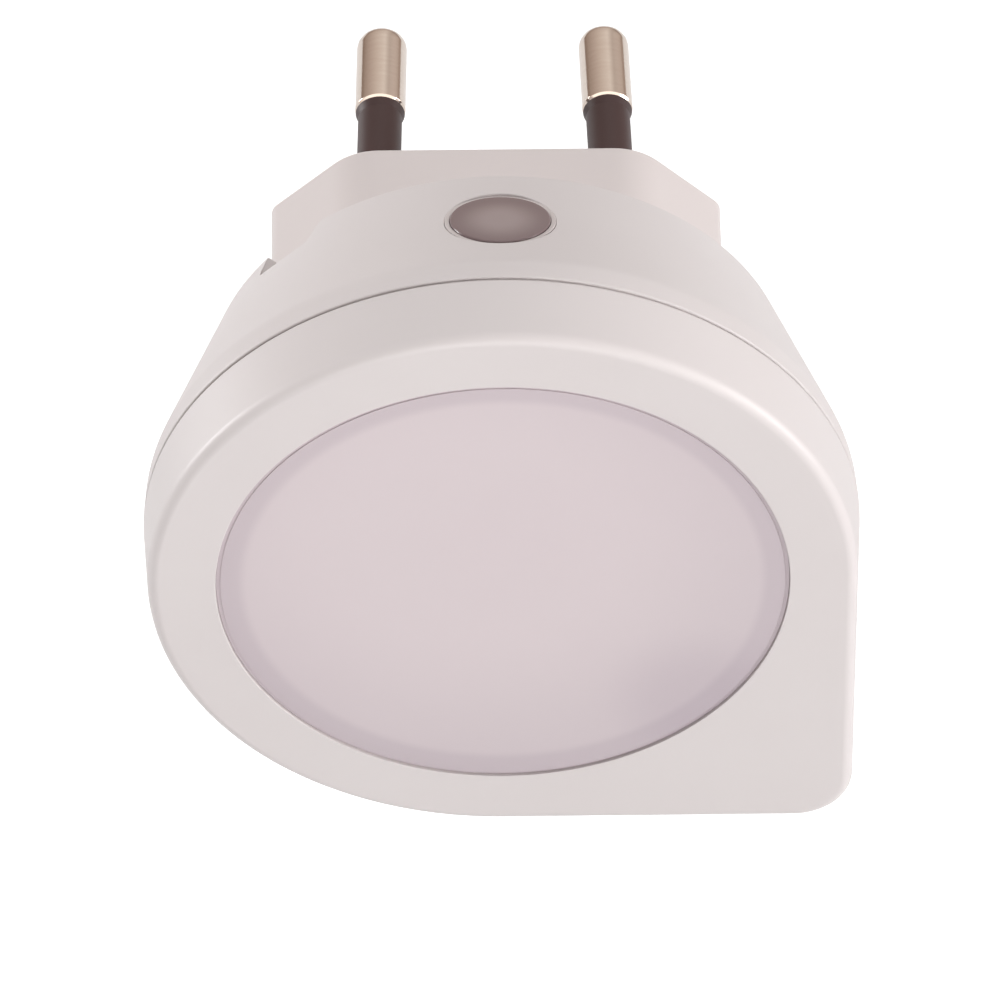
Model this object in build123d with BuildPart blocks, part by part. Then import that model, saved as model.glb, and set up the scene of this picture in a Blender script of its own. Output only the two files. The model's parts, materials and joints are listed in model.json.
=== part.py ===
from build123d import *
import os
from math import atan2, cos, radians, sin, tan

# A plug-in night light: a round opal diffuser in a frame with one square corner, a tapered
# rear housing with a light sensor window on top, and a two-pin plug insert behind it.
# Frame in millimetres: X to the right, Y into the wall socket, Z up. The origin is the middle
# of the plug's engagement face, on the line between the two pins. A "depth" is the distance
# from that face towards the room, so the point at depth d has y = -d.

# ---------------------------------------------------------------- driving dimensions
# Plug outline
plug_width = 35.3  # across the two rounded tips
plug_height = 13.7
plug_tip_radius = 1.2
plug_shoulder_radius = 5.0
plug_wall = 2.0
plug_reach = 18.4  # engagement face to the back of the housing
plug_nose = 8.0  # solid front of the plug that carries the pins
plug_edge_radius = 0.4
# Pins and sleeves
pin_spacing_root = 18.6  # pin centres at the engagement face
pin_spacing_tip = 17.6  # the pins lean towards each other
pin_length = 19.0
pin_diameter = 4.0
pin_bare_length = 8.3
pin_core_diameter = 2.6
pin_tip_radius = 1.3
pin_rim_chamfer = 0.1
pin_root_length = 5.0  # core below the engagement face
pin_collar_diameter = 5.2
pin_collar_thickness = 1.2
pin_tail_length = 4.8
pin_tail_diameter = 2.2
pin_relief_width = 0.3  # shallow moat round each sleeve in the engagement face
pin_relief_depth = 0.4
sleeve_wall = 0.45
sleeve_root = 3.0  # length of the sleeve inside the plug
# Housing outline, from the plug outwards
plate_margin = 2.35  # round plate beyond the plug's tips
plate_gap = 0.2
rim_width = 2.3
taper_inset = 4.9  # how far the rear rim lies inside the crease
band_step = 0.15
cover_draft = 0.35  # how much wider the cover is at the seam
frame_width = 5.2  # flat frame round the diffuser
cover_corner = 4.5
cover_height = 6.2
cover_edge_radius = 0.8
band_height = 2.0  # straight band between seam and taper
rear_edge_radius = 0.5
crease_round = 4.0  # between the taper and the straight band
seam_gap = 0.25
seam_chamfer = 0.15
# Housing walls
wall = 2.0
front_wall = 2.2
skin = 1.0  # outer wall left beside the cover's tongue
tongue_length = 2.6
tongue_thickness = 1.0
fit_gap = 0.1
overcut = 1.0  # how far a cutting shape reaches past the surface it opens
# Snap joint between cover and housing
snap_angles = (30, 90, 150, 210)
snap_arc = 16
snap_height = 0.9
snap_proud = 0.35
# Plate of the plug insert, its ledge and its clips
plate_thickness = 2.2
ring_wall = 1.6
ledge_width = 1.6
ledge_thickness = 2.4
clip_angles = (52, 128, 232, 308)
clip_arc = 18
clip_thickness = 1.1
clip_hook = 0.7
clip_gap = 0.15
clip_play = 0.05
clip_nose = 1.3
# Pry notch in the rear rim
notch_start = 127.5  # degrees from +X towards +Z
notch_end = 142.0
notch_depth = 3.4
notch_reach = 0.8  # how far it cuts in behind the plate's edge
notch_round = 0.7
# Diffuser and reflector
diffuser_gap = 0.3
diffuser_thickness = 1.6
diffuser_recess = 0.1
diffuser_shoulder = 1.6
diffuser_drop = 0.55
opening_chamfer = 0.25
flange_width = 1.7
flange_thickness = 1.2
ring_gap = 0.2
ring_width = 0.8
ring_height = 1.5
reflector_flange = 1.0
reflector_wall = 1.0
reflector_depth = 3.3
reflector_lip = 2.4  # flange from its rim in to the bowl
reflector_slope = 3.8  # bowl's mouth in to its floor
# LED board
led_board_margin = 0.2
led_board_thickness = 1.0
led_ring_radius = 9.0
led_count = 4
led_length = 3.5
led_width = 2.8
led_height = 0.8
led_window_gap = 0.35
led_lens = (1.8, 2.5)
led_lens_depth = 0.15
chip_size = (2.0, 1.3, 0.5)
chip_points = ((-6.0, 4.0), (6.0, 4.0))
peg_inset = 2.4
peg_count = 3
peg_diameter = 2.0
peg_head_diameter = 3.0
peg_head_height = 0.6
board_gap = 3.0  # between the two boards
# Driver board, its posts and screws, and the ribs that clamp the reflector
driver_thickness = 1.6
driver_cutout_width = 12.0
cutout_gap = 0.4
component_gap = 0.3  # tallest component to the plug's plate
post_angles = (0, 180, 270)
post_overhang = 0.6  # post centres outside the ledge's inner edge
post_inset = 1.8  # post centres inside the board's edge
post_diameter = 4.2
screw_diameter = 1.9
screw_end_gap = 0.8
screw_head_diameter = 3.6
screw_head_height = 1.4
screw_gap = 0.2
screw_slot = 0.5
screw_slot_length = 2.2
rib_angles = (45, 135, 225)
rib_thickness = 1.6
rib_clearance = 0.4  # to the cover's bore
rib_gap = 0.3  # to the reflector's bowl
gusset_angle = 315  # the rib in the square corner stands on the floor instead
gusset_foot = 5.5
gusset_height = 6.0
# Light sensor
window_shift = 0.15  # window in front of the taper's middle
window_diameter = 7.6
window_thickness = 1.5
window_recess = 0.1
window_dome = 0.2
window_gap = 0.1  # bezel to the opening in the housing
mouth_chamfer = 0.1  # edge of that opening
bezel_wall = 0.35
bezel_seat = 0.75  # step that the window sits on
bezel_inset = 0.2
bezel_length = 5.6
bezel_flange_width = 1.05
bezel_flange_thickness = 1.0
bezel_room = 0.2  # round the flange, beside the ledge
collar_margin = 0.8
collar_depth = 2.9
cell_face = 4.0  # from the housing's surface in to the cell
cell_diameter = 5.1
cell_thickness = 2.0
cell_lead_pitch = 3.4
cell_lead_inset = 1.6
# Electronics on the driver board: (x, z) centres, body sizes and lead pitches
component_lead = 0.6
solder_length = 0.9
lead_bend = 0.7
standoff = 0.3
film_size = (12.6, 6.0, 11.5)
film_chamfer = 0.5
film_pitch = 10.0
electrolytic_centre = (-5.5, -9.5)
electrolytic_diameter = 6.3
electrolytic_height = 5.6
electrolytic_chamfer = 0.4
electrolytic_pitch = 2.5
rectifier_centre = (5.5, -9.5)
rectifier_size = (4.8, 4.0, 2.6)
rectifier_chamfer = 0.4
rectifier_pitch = (2.5, 3.0)
rectifier_lead = 0.5
fuse_centre = (-8.0, 9.0)
fuse_size = (3.0, 8.0)
fuse_pitch = 10.6
bleed_centre = (8.0, 9.0)
bleed_size = (2.3, 6.3)
bleed_pitch = 9.2
zener_centre = (9.5, 5.6)
zener_size = (2.5, 4.4)
zener_pitch = 7.0
transistor_centre = (-9.5, 4.2)
transistor_diameter = 4.6
transistor_flat = 1.3
transistor_height = 4.6
transistor_standoff = 1.5
transistor_pitch = 1.5
transistor_lead = 0.45
wire_diameter = 1.6
wire_spread = 2.0  # how far the leads move apart on their way to the board
wire_run = 5.5  # straight lengths at the pin and at the board
link_inset = 3.0
link_pitch = 2.54
link_pin = 0.64
link_block = (5.1, 2.5)

# ---------------------------------------------------------------- derived dimensions
# Radii, from the plug's tips out to the frame and in again to the diffuser
plate_radius = plug_width / 2 + plate_margin
rear_radius = plate_radius + plate_gap + rim_width
crease_radius = rear_radius + taper_inset
seam_radius = crease_radius + band_step
cover_radius = seam_radius - cover_draft
rebate_radius = crease_radius - skin
tongue_radius = rebate_radius - fit_gap
cover_bore = tongue_radius - tongue_thickness
diffuser_radius = cover_radius - frame_width
puck_radius = diffuser_radius - diffuser_gap
plateau_radius = puck_radius - diffuser_shoulder
flange_radius = puck_radius + flange_width
mouth_radius = flange_radius - reflector_lip
reflector_floor_radius = mouth_radius - reflector_slope
led_board_radius = reflector_floor_radius - led_board_margin
peg_ring_radius = led_board_radius - peg_inset
rib_radius = cover_bore - rib_clearance
rib_inner = mouth_radius + reflector_wall + rib_gap
ledge_radius = plate_radius + plate_gap - ledge_width
clip_radius = ledge_radius - clip_gap
post_ring_radius = ledge_radius + post_overhang
driver_radius = post_ring_radius + post_inset
notch_inner_radius = plate_radius - notch_reach
sleeve_diameter = pin_core_diameter + 2 * sleeve_wall
# Depths, from the plug's plate through both boards to the front face
plate_depth = plug_reach + plate_thickness
ledge_depth = plate_depth + ledge_thickness
tallest_component = max(electrolytic_height, rectifier_size[2], standoff + fuse_size[0],
                        transistor_standoff + transistor_height)
driver_depth = plate_depth + component_gap + tallest_component
driver_front_depth = driver_depth + driver_thickness
solder_depth = driver_front_depth + solder_length
led_back_depth = driver_front_depth + board_gap
led_face_depth = led_back_depth + led_board_thickness
reflector_floor_depth = led_face_depth + reflector_wall
diffuser_back_depth = reflector_floor_depth + reflector_depth
reflector_back_depth = diffuser_back_depth - reflector_flange
ceiling_depth = diffuser_back_depth + flange_thickness
front_depth = ceiling_depth + front_wall
diffuser_face_depth = front_depth - diffuser_recess
seam_depth = front_depth - cover_height
crease_depth = seam_depth - band_height
tongue_seat_depth = seam_depth - tongue_length
snap_depth = seam_depth - tongue_length / 2
screw_length = driver_front_depth - ledge_depth - screw_end_gap
# Taper of the rear housing
slope = atan2(taper_inset, crease_depth - plug_reach)
taper_wall = wall / cos(slope)


def shell_radius(depth):
    """Radius of the tapered wall at a depth."""
    return rear_radius + (depth - plug_reach) * tan(slope)


# Light sensor, across the taper's middle
window_depth = (plug_reach + crease_depth) / 2 + window_shift
bezel_diameter = window_diameter + 2 * bezel_wall
bezel_bore = window_diameter - 2 * bezel_seat
bezel_flange_diameter = bezel_diameter + 2 * bezel_flange_width
window_opening = bezel_diameter + 2 * window_gap
collar_diameter = bezel_flange_diameter + 2 * collar_margin
tube_end_height = (shell_radius(window_depth) - (bezel_inset + bezel_length) * cos(slope)
                   - bezel_diameter / 2 * sin(slope))
driver_cutout_height = tube_end_height - cutout_gap
# Pins
pin_lean = atan2((pin_spacing_root - pin_spacing_tip) / 2, pin_length)
tail_end = pin_root_length + pin_collar_thickness + pin_tail_length
wire_end = pin_spacing_root / 2 + wire_spread


def pair(centre, pitch):
    """Two lead positions, side by side about a centre."""
    x, z = centre
    return [(x - pitch / 2, z), (x + pitch / 2, z)]


film_leads = pair((0, 0), film_pitch)
electrolytic_leads = pair(electrolytic_centre, electrolytic_pitch)
rectifier_leads = [(rectifier_centre[0] + i * rectifier_pitch[0] / 2,
                    rectifier_centre[1] + j * rectifier_pitch[1] / 2)
                   for i in (-1, 1) for j in (-1, 1)]
transistor_leads = [(transistor_centre[0] + i * transistor_pitch, transistor_centre[1])
                    for i in (-1, 0, 1)]
cell_leads = pair((0, driver_cutout_height - cell_lead_inset), cell_lead_pitch)
wire_leads = pair((0, 0), 2 * wire_end)
round_lead_points = (film_leads + electrolytic_leads + cell_leads + wire_leads
                     + pair(fuse_centre, fuse_pitch) + pair(bleed_centre, bleed_pitch)
                     + pair(zener_centre, zener_pitch))
link_height = link_inset - led_board_radius
link_points = pair((0, link_height), link_pitch)


def at(depth):
    """Sketch plane at a depth, seen from the room: x right, y up, normal towards the room."""
    return Plane.XZ.offset(depth)


def radial(angle):
    """Sketch plane through the housing axis: x is the radius at that angle, y the depth."""
    a = radians(angle)
    return Plane(origin=(0, 0, 0), x_dir=(cos(a), 0, sin(a)), z_dir=(sin(a), 0, -cos(a)))


def teardrop(radius, corner):
    """A circle whose lower right quarter is squared off, with that corner rounded."""
    with BuildSketch() as outline:
        Circle(radius)
        Rectangle(radius, radius, align=(Align.MIN, Align.MAX))
        corner_point = outline.vertices().sort_by(Axis.X)[-2:].sort_by(Axis.Y)[0]
        fillet(corner_point, corner)
    return outline.sketch


def teardrop_loft(depth_a, radius_a, depth_b, radius_b, corner, mode=Mode.ADD):
    """Straight-sided body between two teardrops of one corner radius."""
    sections = [at(depth_a) * teardrop(radius_a, corner), at(depth_b) * teardrop(radius_b, corner)]
    loft(sections, ruled=True, mode=mode)


def plug_outline():
    """Flat hexagon of the plug: 45 degree chamfers that meet in two rounded tips."""
    half_height = plug_height / 2
    tip_loss = plug_tip_radius * (1 / sin(radians(45)) - 1)
    tip = plug_width / 2 + tip_loss
    flat = tip - half_height
    with BuildSketch() as outline:
        Polygon((-tip, 0), (-flat, half_height), (flat, half_height),
                (tip, 0), (flat, -half_height), (-flat, -half_height), align=None)
        rows = outline.vertices().group_by(Axis.Y)
        fillet(rows[0] + rows[-1], plug_shoulder_radius)
        ends = outline.vertices().group_by(Axis.X)
        fillet(ends[0] + ends[-1], plug_tip_radius)
    return outline.sketch


def pin_plane(side):
    """Plane at a pin's root on the engagement face, its normal along the leaning pin."""
    return Plane(origin=(side * pin_spacing_root / 2, 0, 0),
                 x_dir=(cos(pin_lean), side * sin(pin_lean), 0),
                 z_dir=(-side * sin(pin_lean), cos(pin_lean), 0))


window_plane = Plane(origin=(0, -window_depth, shell_radius(window_depth)),
                     x_dir=(1, 0, 0), z_dir=(0, sin(slope), cos(slope)))


# ---------------------------------------------------------------- plug insert
def make_pin(side, label):
    """Solid pin: domed bare end, thin core inside the sleeve, collar and solder tail."""
    base = pin_plane(side)
    with BuildPart() as pin:
        with BuildSketch(base.offset(pin_length - pin_bare_length)):
            Circle(pin_diameter / 2)
        extrude(amount=pin_bare_length)
        ends = pin.edges().filter_by(GeomType.CIRCLE).sort_by(Axis.Y)
        fillet(ends[-1], pin_tip_radius)
        chamfer(pin.edges().filter_by(GeomType.CIRCLE).sort_by(Axis.Y)[0], pin_rim_chamfer)
        with BuildSketch(base.offset(-pin_root_length)):
            Circle(pin_core_diameter / 2)
        extrude(amount=pin_root_length + pin_length - pin_bare_length)
        with BuildSketch(base.offset(-pin_root_length)):
            Circle(pin_collar_diameter / 2)
        extrude(amount=-pin_collar_thickness)
        with BuildSketch(base.offset(-pin_root_length - pin_collar_thickness)):
            Circle(pin_tail_diameter / 2)
        extrude(amount=-pin_tail_length)
    pin.part.label = label
    return pin.part


def make_sleeve(side, label):
    """Insulating sleeve round the thin part of a pin, rooted in the plug."""
    with BuildPart() as sleeve:
        with BuildSketch(pin_plane(side).offset(-sleeve_root)):
            Circle(sleeve_diameter / 2)
            Circle(pin_core_diameter / 2, mode=Mode.SUBTRACT)
        extrude(amount=sleeve_root + pin_length - pin_bare_length)
    sleeve.part.label = label
    return sleeve.part


pin_left = make_pin(-1, "pin_left")
pin_right = make_pin(1, "pin_right")
sleeve_left = make_sleeve(-1, "pin_sleeve_left")
sleeve_right = make_sleeve(1, "pin_sleeve_right")

with BuildPart() as plug_body:
    with BuildSketch(at(0)):
        add(plug_outline())
    extrude(amount=plate_depth)
    fillet(plug_body.faces().sort_by(Axis.Y)[-1].edges(), plug_edge_radius)
    with BuildSketch(at(0)):
        with Locations(*pair((0, 0), pin_spacing_root)):
            Circle(sleeve_diameter / 2 + pin_relief_width)
    extrude(amount=pin_relief_depth, mode=Mode.SUBTRACT)
    with BuildSketch(at(plug_reach)):
        Circle(plate_radius)
    extrude(amount=plate_thickness)
    with BuildSketch(at(plug_nose)):
        offset(plug_outline(), -plug_wall)
    extrude(amount=plate_depth - plug_nose, mode=Mode.SUBTRACT)
    for piece in (pin_left, pin_right, sleeve_left, sleeve_right):
        add(piece, mode=Mode.SUBTRACT)
    for angle in clip_angles:
        with BuildSketch(radial(angle + clip_arc / 2)):
            Polygon((clip_radius - clip_thickness, plate_depth), (clip_radius, plate_depth),
                    (clip_radius, ledge_depth + clip_play),
                    (clip_radius + clip_hook, ledge_depth + clip_play),
                    (clip_radius, ledge_depth + clip_nose),
                    (clip_radius - clip_thickness, ledge_depth + clip_nose), align=None)
        revolve(axis=Axis.Y, revolution_arc=clip_arc)
plug_body.part.label = "plug_body"


# ---------------------------------------------------------------- rear housing
def snap_ridge(angle, base_radius, proud, height, mode):
    """Ridge of triangular section on a round wall, for the snap joint of cover and housing."""
    with BuildSketch(radial(angle + snap_arc / 2)) as profile:
        Polygon((base_radius - fit_gap, snap_depth - height / 2),
                (base_radius, snap_depth - height / 2),
                (base_radius + proud, snap_depth),
                (base_radius, snap_depth + height / 2),
                (base_radius - fit_gap, snap_depth + height / 2), align=None)
    revolve(profile.sketch, axis=Axis.Y, revolution_arc=snap_arc, mode=mode)


with BuildPart() as notch:
    # one straight side, the other an S-curve that runs out into the rim
    middle = radians((notch_start + notch_end) / 2)
    half = rear_radius * tan(radians((notch_end - notch_start) / 2))
    above = plug_reach - overcut
    floor = plug_reach + notch_depth
    outward = Plane(origin=(0, 0, 0), x_dir=(-sin(middle), 0, cos(middle)),
                    z_dir=(cos(middle), 0, sin(middle)))
    with BuildSketch(outward.offset(notch_inner_radius)):
        with BuildLine():
            FilletPolyline((half, above), (half, floor), (-half + notch_round, floor),
                           (-half, plug_reach), (-half - 2 * notch_round, plug_reach),
                           radius=notch_round)
            Polyline((-half - 2 * notch_round, plug_reach), (-half - 2 * notch_round, above),
                     (half, above))
        make_face()
    extrude(amount=crease_radius - notch_inner_radius)

with BuildPart() as rear_housing:
    teardrop_loft(plug_reach, rear_radius, crease_depth, crease_radius, cover_corner)
    fillet(rear_housing.faces().sort_by(Axis.Y)[-1].edges(), rear_edge_radius)
    teardrop_loft(crease_depth, crease_radius, seam_depth, seam_radius, cover_corner)
    crease = rear_housing.edges().filter_by_position(Axis.Y, -crease_depth - fit_gap,
                                                     -crease_depth + fit_gap)
    fillet(crease, crease_round)
    chamfer(rear_housing.faces().sort_by(Axis.Y)[0].edges(), seam_chamfer)
    # hollow inside
    teardrop_loft(plate_depth, shell_radius(plate_depth) - taper_wall,
                  tongue_seat_depth, shell_radius(tongue_seat_depth) - taper_wall,
                  cover_corner - wall, mode=Mode.SUBTRACT)
    # collar that the sensor's bezel seats against
    with BuildSketch(window_plane.offset(-collar_depth)):
        Circle(collar_diameter / 2)
    extrude(amount=collar_depth - wall / 2)
    # rebate and grooves for the cover's tongue
    with BuildSketch(at(tongue_seat_depth)):
        add(teardrop(rebate_radius, cover_corner - skin))
    extrude(amount=tongue_length, mode=Mode.SUBTRACT)
    for angle in snap_angles:
        snap_ridge(angle, rebate_radius, snap_proud, snap_height + 2 * fit_gap, Mode.SUBTRACT)
    # ring with a ledge that the plug's plate seats on
    with BuildSketch(at(plug_reach + rear_edge_radius)):
        Circle(plate_radius + plate_gap + ring_wall)
    extrude(amount=ledge_depth - plug_reach - rear_edge_radius)
    with BuildSketch(at(plug_reach)):
        Circle(plate_radius + plate_gap)
    extrude(amount=plate_thickness, mode=Mode.SUBTRACT)
    with BuildSketch(at(plate_depth)):
        Circle(ledge_radius)
    extrude(amount=ledge_thickness, mode=Mode.SUBTRACT)
    # posts for the driver board
    with BuildSketch(at(ledge_depth)):
        for angle in post_angles:
            with PolarLocations(post_ring_radius, 1, start_angle=angle):
                Circle(post_diameter / 2)
    extrude(amount=driver_depth - ledge_depth)
    with BuildSketch(at(driver_depth)):
        for angle in post_angles:
            with PolarLocations(post_ring_radius, 1, start_angle=angle):
                Circle(screw_diameter / 2)
    extrude(amount=driver_thickness - screw_length, mode=Mode.SUBTRACT)
    # ribs that clamp the reflector against the diffuser
    foot_depth = plug_reach + (rib_radius + wall / 2 - rear_radius) / tan(slope)
    for angle in rib_angles:
        with BuildSketch(radial(angle).offset(-rib_thickness / 2)):
            Polygon((rib_inner, plate_depth), (rib_radius, foot_depth),
                    (rib_radius, reflector_back_depth), (rib_inner, reflector_back_depth),
                    align=None)
        extrude(amount=rib_thickness)
    with BuildSketch(radial(gusset_angle).offset(-rib_thickness / 2)):
        Polygon((rib_inner, plate_depth), (rib_inner + gusset_foot, plate_depth),
                (rib_radius, plate_depth + gusset_height),
                (rib_radius, reflector_back_depth), (rib_inner, reflector_back_depth), align=None)
    extrude(amount=rib_thickness)
    add(notch.part, mode=Mode.SUBTRACT)
    # opening for the light sensor
    with BuildSketch(window_plane.offset(-collar_depth)):
        Circle(window_opening / 2)
    extrude(amount=collar_depth + wall, mode=Mode.SUBTRACT)
    mouth = rear_housing.edges(Select.LAST).filter_by(GeomType.CIRCLE, reverse=True)
    chamfer(mouth.sort_by(Axis.Z)[-1], mouth_chamfer)
    # room for the bezel's flange and tube beside the ledge
    with BuildSketch(window_plane.offset(-collar_depth)):
        Circle(bezel_flange_diameter / 2 + bezel_room)
    extrude(amount=-bezel_length, mode=Mode.SUBTRACT)
rear_housing.part.label = "rear_housing"

# ---------------------------------------------------------------- front cover
with BuildPart() as front_cover:
    teardrop_loft(seam_depth + seam_gap, seam_radius, front_depth, cover_radius, cover_corner)
    fillet(front_cover.faces().sort_by(Axis.Y)[0].edges(), cover_edge_radius)
    chamfer(front_cover.faces().sort_by(Axis.Y)[-1].edges(), seam_chamfer)
    with BuildSketch(at(tongue_seat_depth)):
        add(teardrop(tongue_radius, cover_corner - skin - fit_gap))
    extrude(amount=tongue_length + seam_gap)
    with BuildSketch(at(tongue_seat_depth)):
        add(teardrop(cover_bore, cover_corner - skin - fit_gap - tongue_thickness))
    extrude(amount=ceiling_depth - tongue_seat_depth, mode=Mode.SUBTRACT)
    for angle in snap_angles:
        snap_ridge(angle, tongue_radius, snap_proud, snap_height, Mode.ADD)
    # ring that centres the diffuser's flange
    with BuildSketch(at(ceiling_depth - ring_height)):
        Circle(flange_radius + ring_gap + ring_width)
        Circle(flange_radius + ring_gap, mode=Mode.SUBTRACT)
    extrude(amount=ring_height)
    with BuildSketch(at(ceiling_depth)):
        Circle(diffuser_radius)
    extrude(amount=front_wall, mode=Mode.SUBTRACT)
    opening = front_cover.faces().sort_by(Axis.Y)[0].inner_wires()
    chamfer(opening.edges(), opening_chamfer)
front_cover.part.label = "front_cover"

# ---------------------------------------------------------------- diffuser and reflector
with BuildPart() as diffuser:
    with BuildSketch(radial(0)):
        with BuildLine():
            plateau = Line((0, diffuser_face_depth), (plateau_radius, diffuser_face_depth))
            shoulder = TangentArc(plateau @ 1, (puck_radius, diffuser_face_depth - diffuser_drop),
                                  tangent=plateau % 1)
            Polyline(shoulder @ 1, (puck_radius, ceiling_depth), (flange_radius, ceiling_depth),
                     (flange_radius, diffuser_back_depth), (plateau_radius, diffuser_back_depth),
                     (plateau_radius, diffuser_face_depth - diffuser_thickness),
                     (0, diffuser_face_depth - diffuser_thickness), plateau @ 0)
        make_face()
    revolve(axis=Axis.Y)
diffuser.part.label = "diffuser"

with BuildPart() as reflector:
    with BuildSketch(radial(0)):
        with BuildLine():
            Polyline((0, reflector_floor_depth), (reflector_floor_radius, reflector_floor_depth),
                     (mouth_radius, diffuser_back_depth), (flange_radius, diffuser_back_depth),
                     (flange_radius, reflector_back_depth),
                     (mouth_radius + reflector_wall, reflector_back_depth),
                     (reflector_floor_radius + reflector_wall, led_face_depth),
                     (0, led_face_depth), close=True)
        make_face()
    revolve(axis=Axis.Y)
    with BuildSketch(at(led_face_depth)):
        with PolarLocations(led_ring_radius, led_count):
            Rectangle(led_width + 2 * led_window_gap, led_length + 2 * led_window_gap)
    extrude(amount=reflector_wall, mode=Mode.SUBTRACT)
    with BuildSketch(at(led_face_depth)):
        with PolarLocations(peg_ring_radius, peg_count, start_angle=90):
            Circle(peg_diameter / 2)
    extrude(amount=-led_board_thickness)
    # heads staked over the board
    with BuildSketch(at(led_back_depth)):
        with PolarLocations(peg_ring_radius, peg_count, start_angle=90):
            Circle(peg_head_diameter / 2)
    extrude(amount=-peg_head_height)
reflector.part.label = "reflector"

with BuildPart() as led_board:
    with BuildSketch(at(led_back_depth)):
        Circle(led_board_radius)
        with PolarLocations(peg_ring_radius, peg_count, start_angle=90):
            Circle(peg_diameter / 2 + fit_gap, mode=Mode.SUBTRACT)
        with Locations(*link_points):
            Rectangle(link_pin + 2 * fit_gap, link_pin + 2 * fit_gap, mode=Mode.SUBTRACT)
    extrude(amount=led_board_thickness)
led_board.part.label = "led_board"

with BuildPart() as leds:
    with BuildSketch(at(led_face_depth)):
        with PolarLocations(led_ring_radius, led_count):
            Rectangle(led_width, led_length)
    extrude(amount=led_height)
    with BuildSketch(at(led_face_depth + led_height)):
        with PolarLocations(led_ring_radius, led_count):
            Rectangle(*led_lens)
    extrude(amount=-led_lens_depth, mode=Mode.SUBTRACT)
leds.part.label = "leds"

with BuildPart() as chip_resistors:
    with BuildSketch(at(led_back_depth)):
        with Locations(*chip_points):
            Rectangle(*chip_size[:2])
    extrude(amount=-chip_size[2])
chip_resistors.part.label = "chip_resistors"

# ---------------------------------------------------------------- driver board
with BuildPart() as driver_board:
    with BuildSketch(at(driver_depth)):
        Circle(driver_radius)
        with Locations((0, driver_cutout_height)):
            Rectangle(driver_cutout_width, driver_radius, align=(Align.CENTER, Align.MIN),
                      mode=Mode.SUBTRACT)
        for angle in post_angles:
            with PolarLocations(post_ring_radius, 1, start_angle=angle):
                Circle(screw_diameter / 2 + screw_gap, mode=Mode.SUBTRACT)
        # square punched holes for the leads
        for points, side in ((round_lead_points, component_lead),
                             (rectifier_leads, rectifier_lead),
                             (transistor_leads, transistor_lead), (link_points, link_pin)):
            with Locations(*points):
                Rectangle(side + 2 * fit_gap, side + 2 * fit_gap, mode=Mode.SUBTRACT)
    extrude(amount=driver_thickness)
driver_board.part.label = "driver_board"

with BuildPart() as board_screws:
    for angle in post_angles:
        with BuildSketch(at(driver_front_depth)):
            with PolarLocations(post_ring_radius, 1, start_angle=angle):
                Circle(screw_head_diameter / 2)
        extrude(amount=screw_head_height)
        with BuildSketch(at(driver_front_depth)):
            with PolarLocations(post_ring_radius, 1, start_angle=angle):
                Circle(screw_diameter / 2)
        extrude(amount=-screw_length)
    with BuildSketch(at(driver_front_depth + screw_head_height)):
        for angle in post_angles:
            with PolarLocations(post_ring_radius, 1, start_angle=angle):
                Rectangle(screw_slot, screw_slot_length)
                Rectangle(screw_slot_length, screw_slot)
    extrude(amount=-screw_slot, mode=Mode.SUBTRACT)
board_screws.part.label = "board_screws"


def through_leads(points, start_depth):
    """Straight round leads from a depth through the driver board to their solder side."""
    with BuildSketch(at(start_depth)) as section:
        with Locations(*points):
            Circle(component_lead / 2)
    extrude(section.sketch, amount=solder_depth - start_depth)


def flat_leads(points, start_depth, side):
    """The same for leads of square section."""
    with BuildSketch(at(start_depth)) as section:
        with Locations(*points):
            Rectangle(side, side)
    extrude(section.sketch, amount=solder_depth - start_depth)


def bent_wire(plane, points, diameter):
    """Round wire along straight runs in a plane, with mitred bends."""
    with BuildLine(plane) as path:
        Polyline(*points)
    with BuildSketch(Plane(origin=path.line @ 0, z_dir=path.line % 0)) as section:
        Circle(diameter / 2)
    sweep(section.sketch, path=path.line, transition=Transition.RIGHT)


def axial_component(centre, size, pitch, label):
    """Cylindrical component lying along X, with two leads bent down through the board."""
    x, z = centre
    diameter, length = size
    depth = driver_depth - standoff - diameter / 2
    with BuildPart() as component:
        with BuildSketch(Plane.YZ.offset(x - length / 2)):
            with Locations((-depth, z)):
                Circle(diameter / 2)
        extrude(amount=length)
        for side in (-1, 1):
            lead_x = x + side * pitch / 2
            bent_wire(Plane.XY.offset(z),
                      [(lead_x, -solder_depth), (lead_x, -depth - lead_bend),
                       (lead_x - side * lead_bend, -depth), (x + side * length / 2, -depth)],
                      component_lead)
    component.part.label = label
    return component.part


with BuildPart() as film_capacitor:
    with BuildSketch(at(driver_depth)):
        Rectangle(film_size[0], film_size[1])
    extrude(amount=-film_size[2])
    chamfer(film_capacitor.faces().sort_by(Axis.Y)[-1].edges(), film_chamfer)
    through_leads(film_leads, driver_depth)
film_capacitor.part.label = "film_capacitor"

with BuildPart() as electrolytic_capacitor:
    with BuildSketch(at(driver_depth)):
        with Locations(electrolytic_centre):
            Circle(electrolytic_diameter / 2)
    extrude(amount=-electrolytic_height)
    rims = electrolytic_capacitor.edges().filter_by(GeomType.CIRCLE).sort_by(Axis.Y)
    chamfer(rims[-1], electrolytic_chamfer)
    through_leads(electrolytic_leads, driver_depth)
electrolytic_capacitor.part.label = "electrolytic_capacitor"

with BuildPart() as bridge_rectifier:
    with BuildSketch(at(driver_depth)):
        with Locations(rectifier_centre):
            Rectangle(*rectifier_size[:2])
    extrude(amount=-rectifier_size[2])
    chamfer(bridge_rectifier.faces().sort_by(Axis.Y)[-1].edges(), rectifier_chamfer)
    flat_leads(rectifier_leads, driver_depth, rectifier_lead)
bridge_rectifier.part.label = "bridge_rectifier"

fusible_resistor = axial_component(fuse_centre, fuse_size, fuse_pitch, "fusible_resistor")
bleed_resistor = axial_component(bleed_centre, bleed_size, bleed_pitch, "bleed_resistor")
zener_diode = axial_component(zener_centre, zener_size, zener_pitch, "zener_diode")

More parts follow.
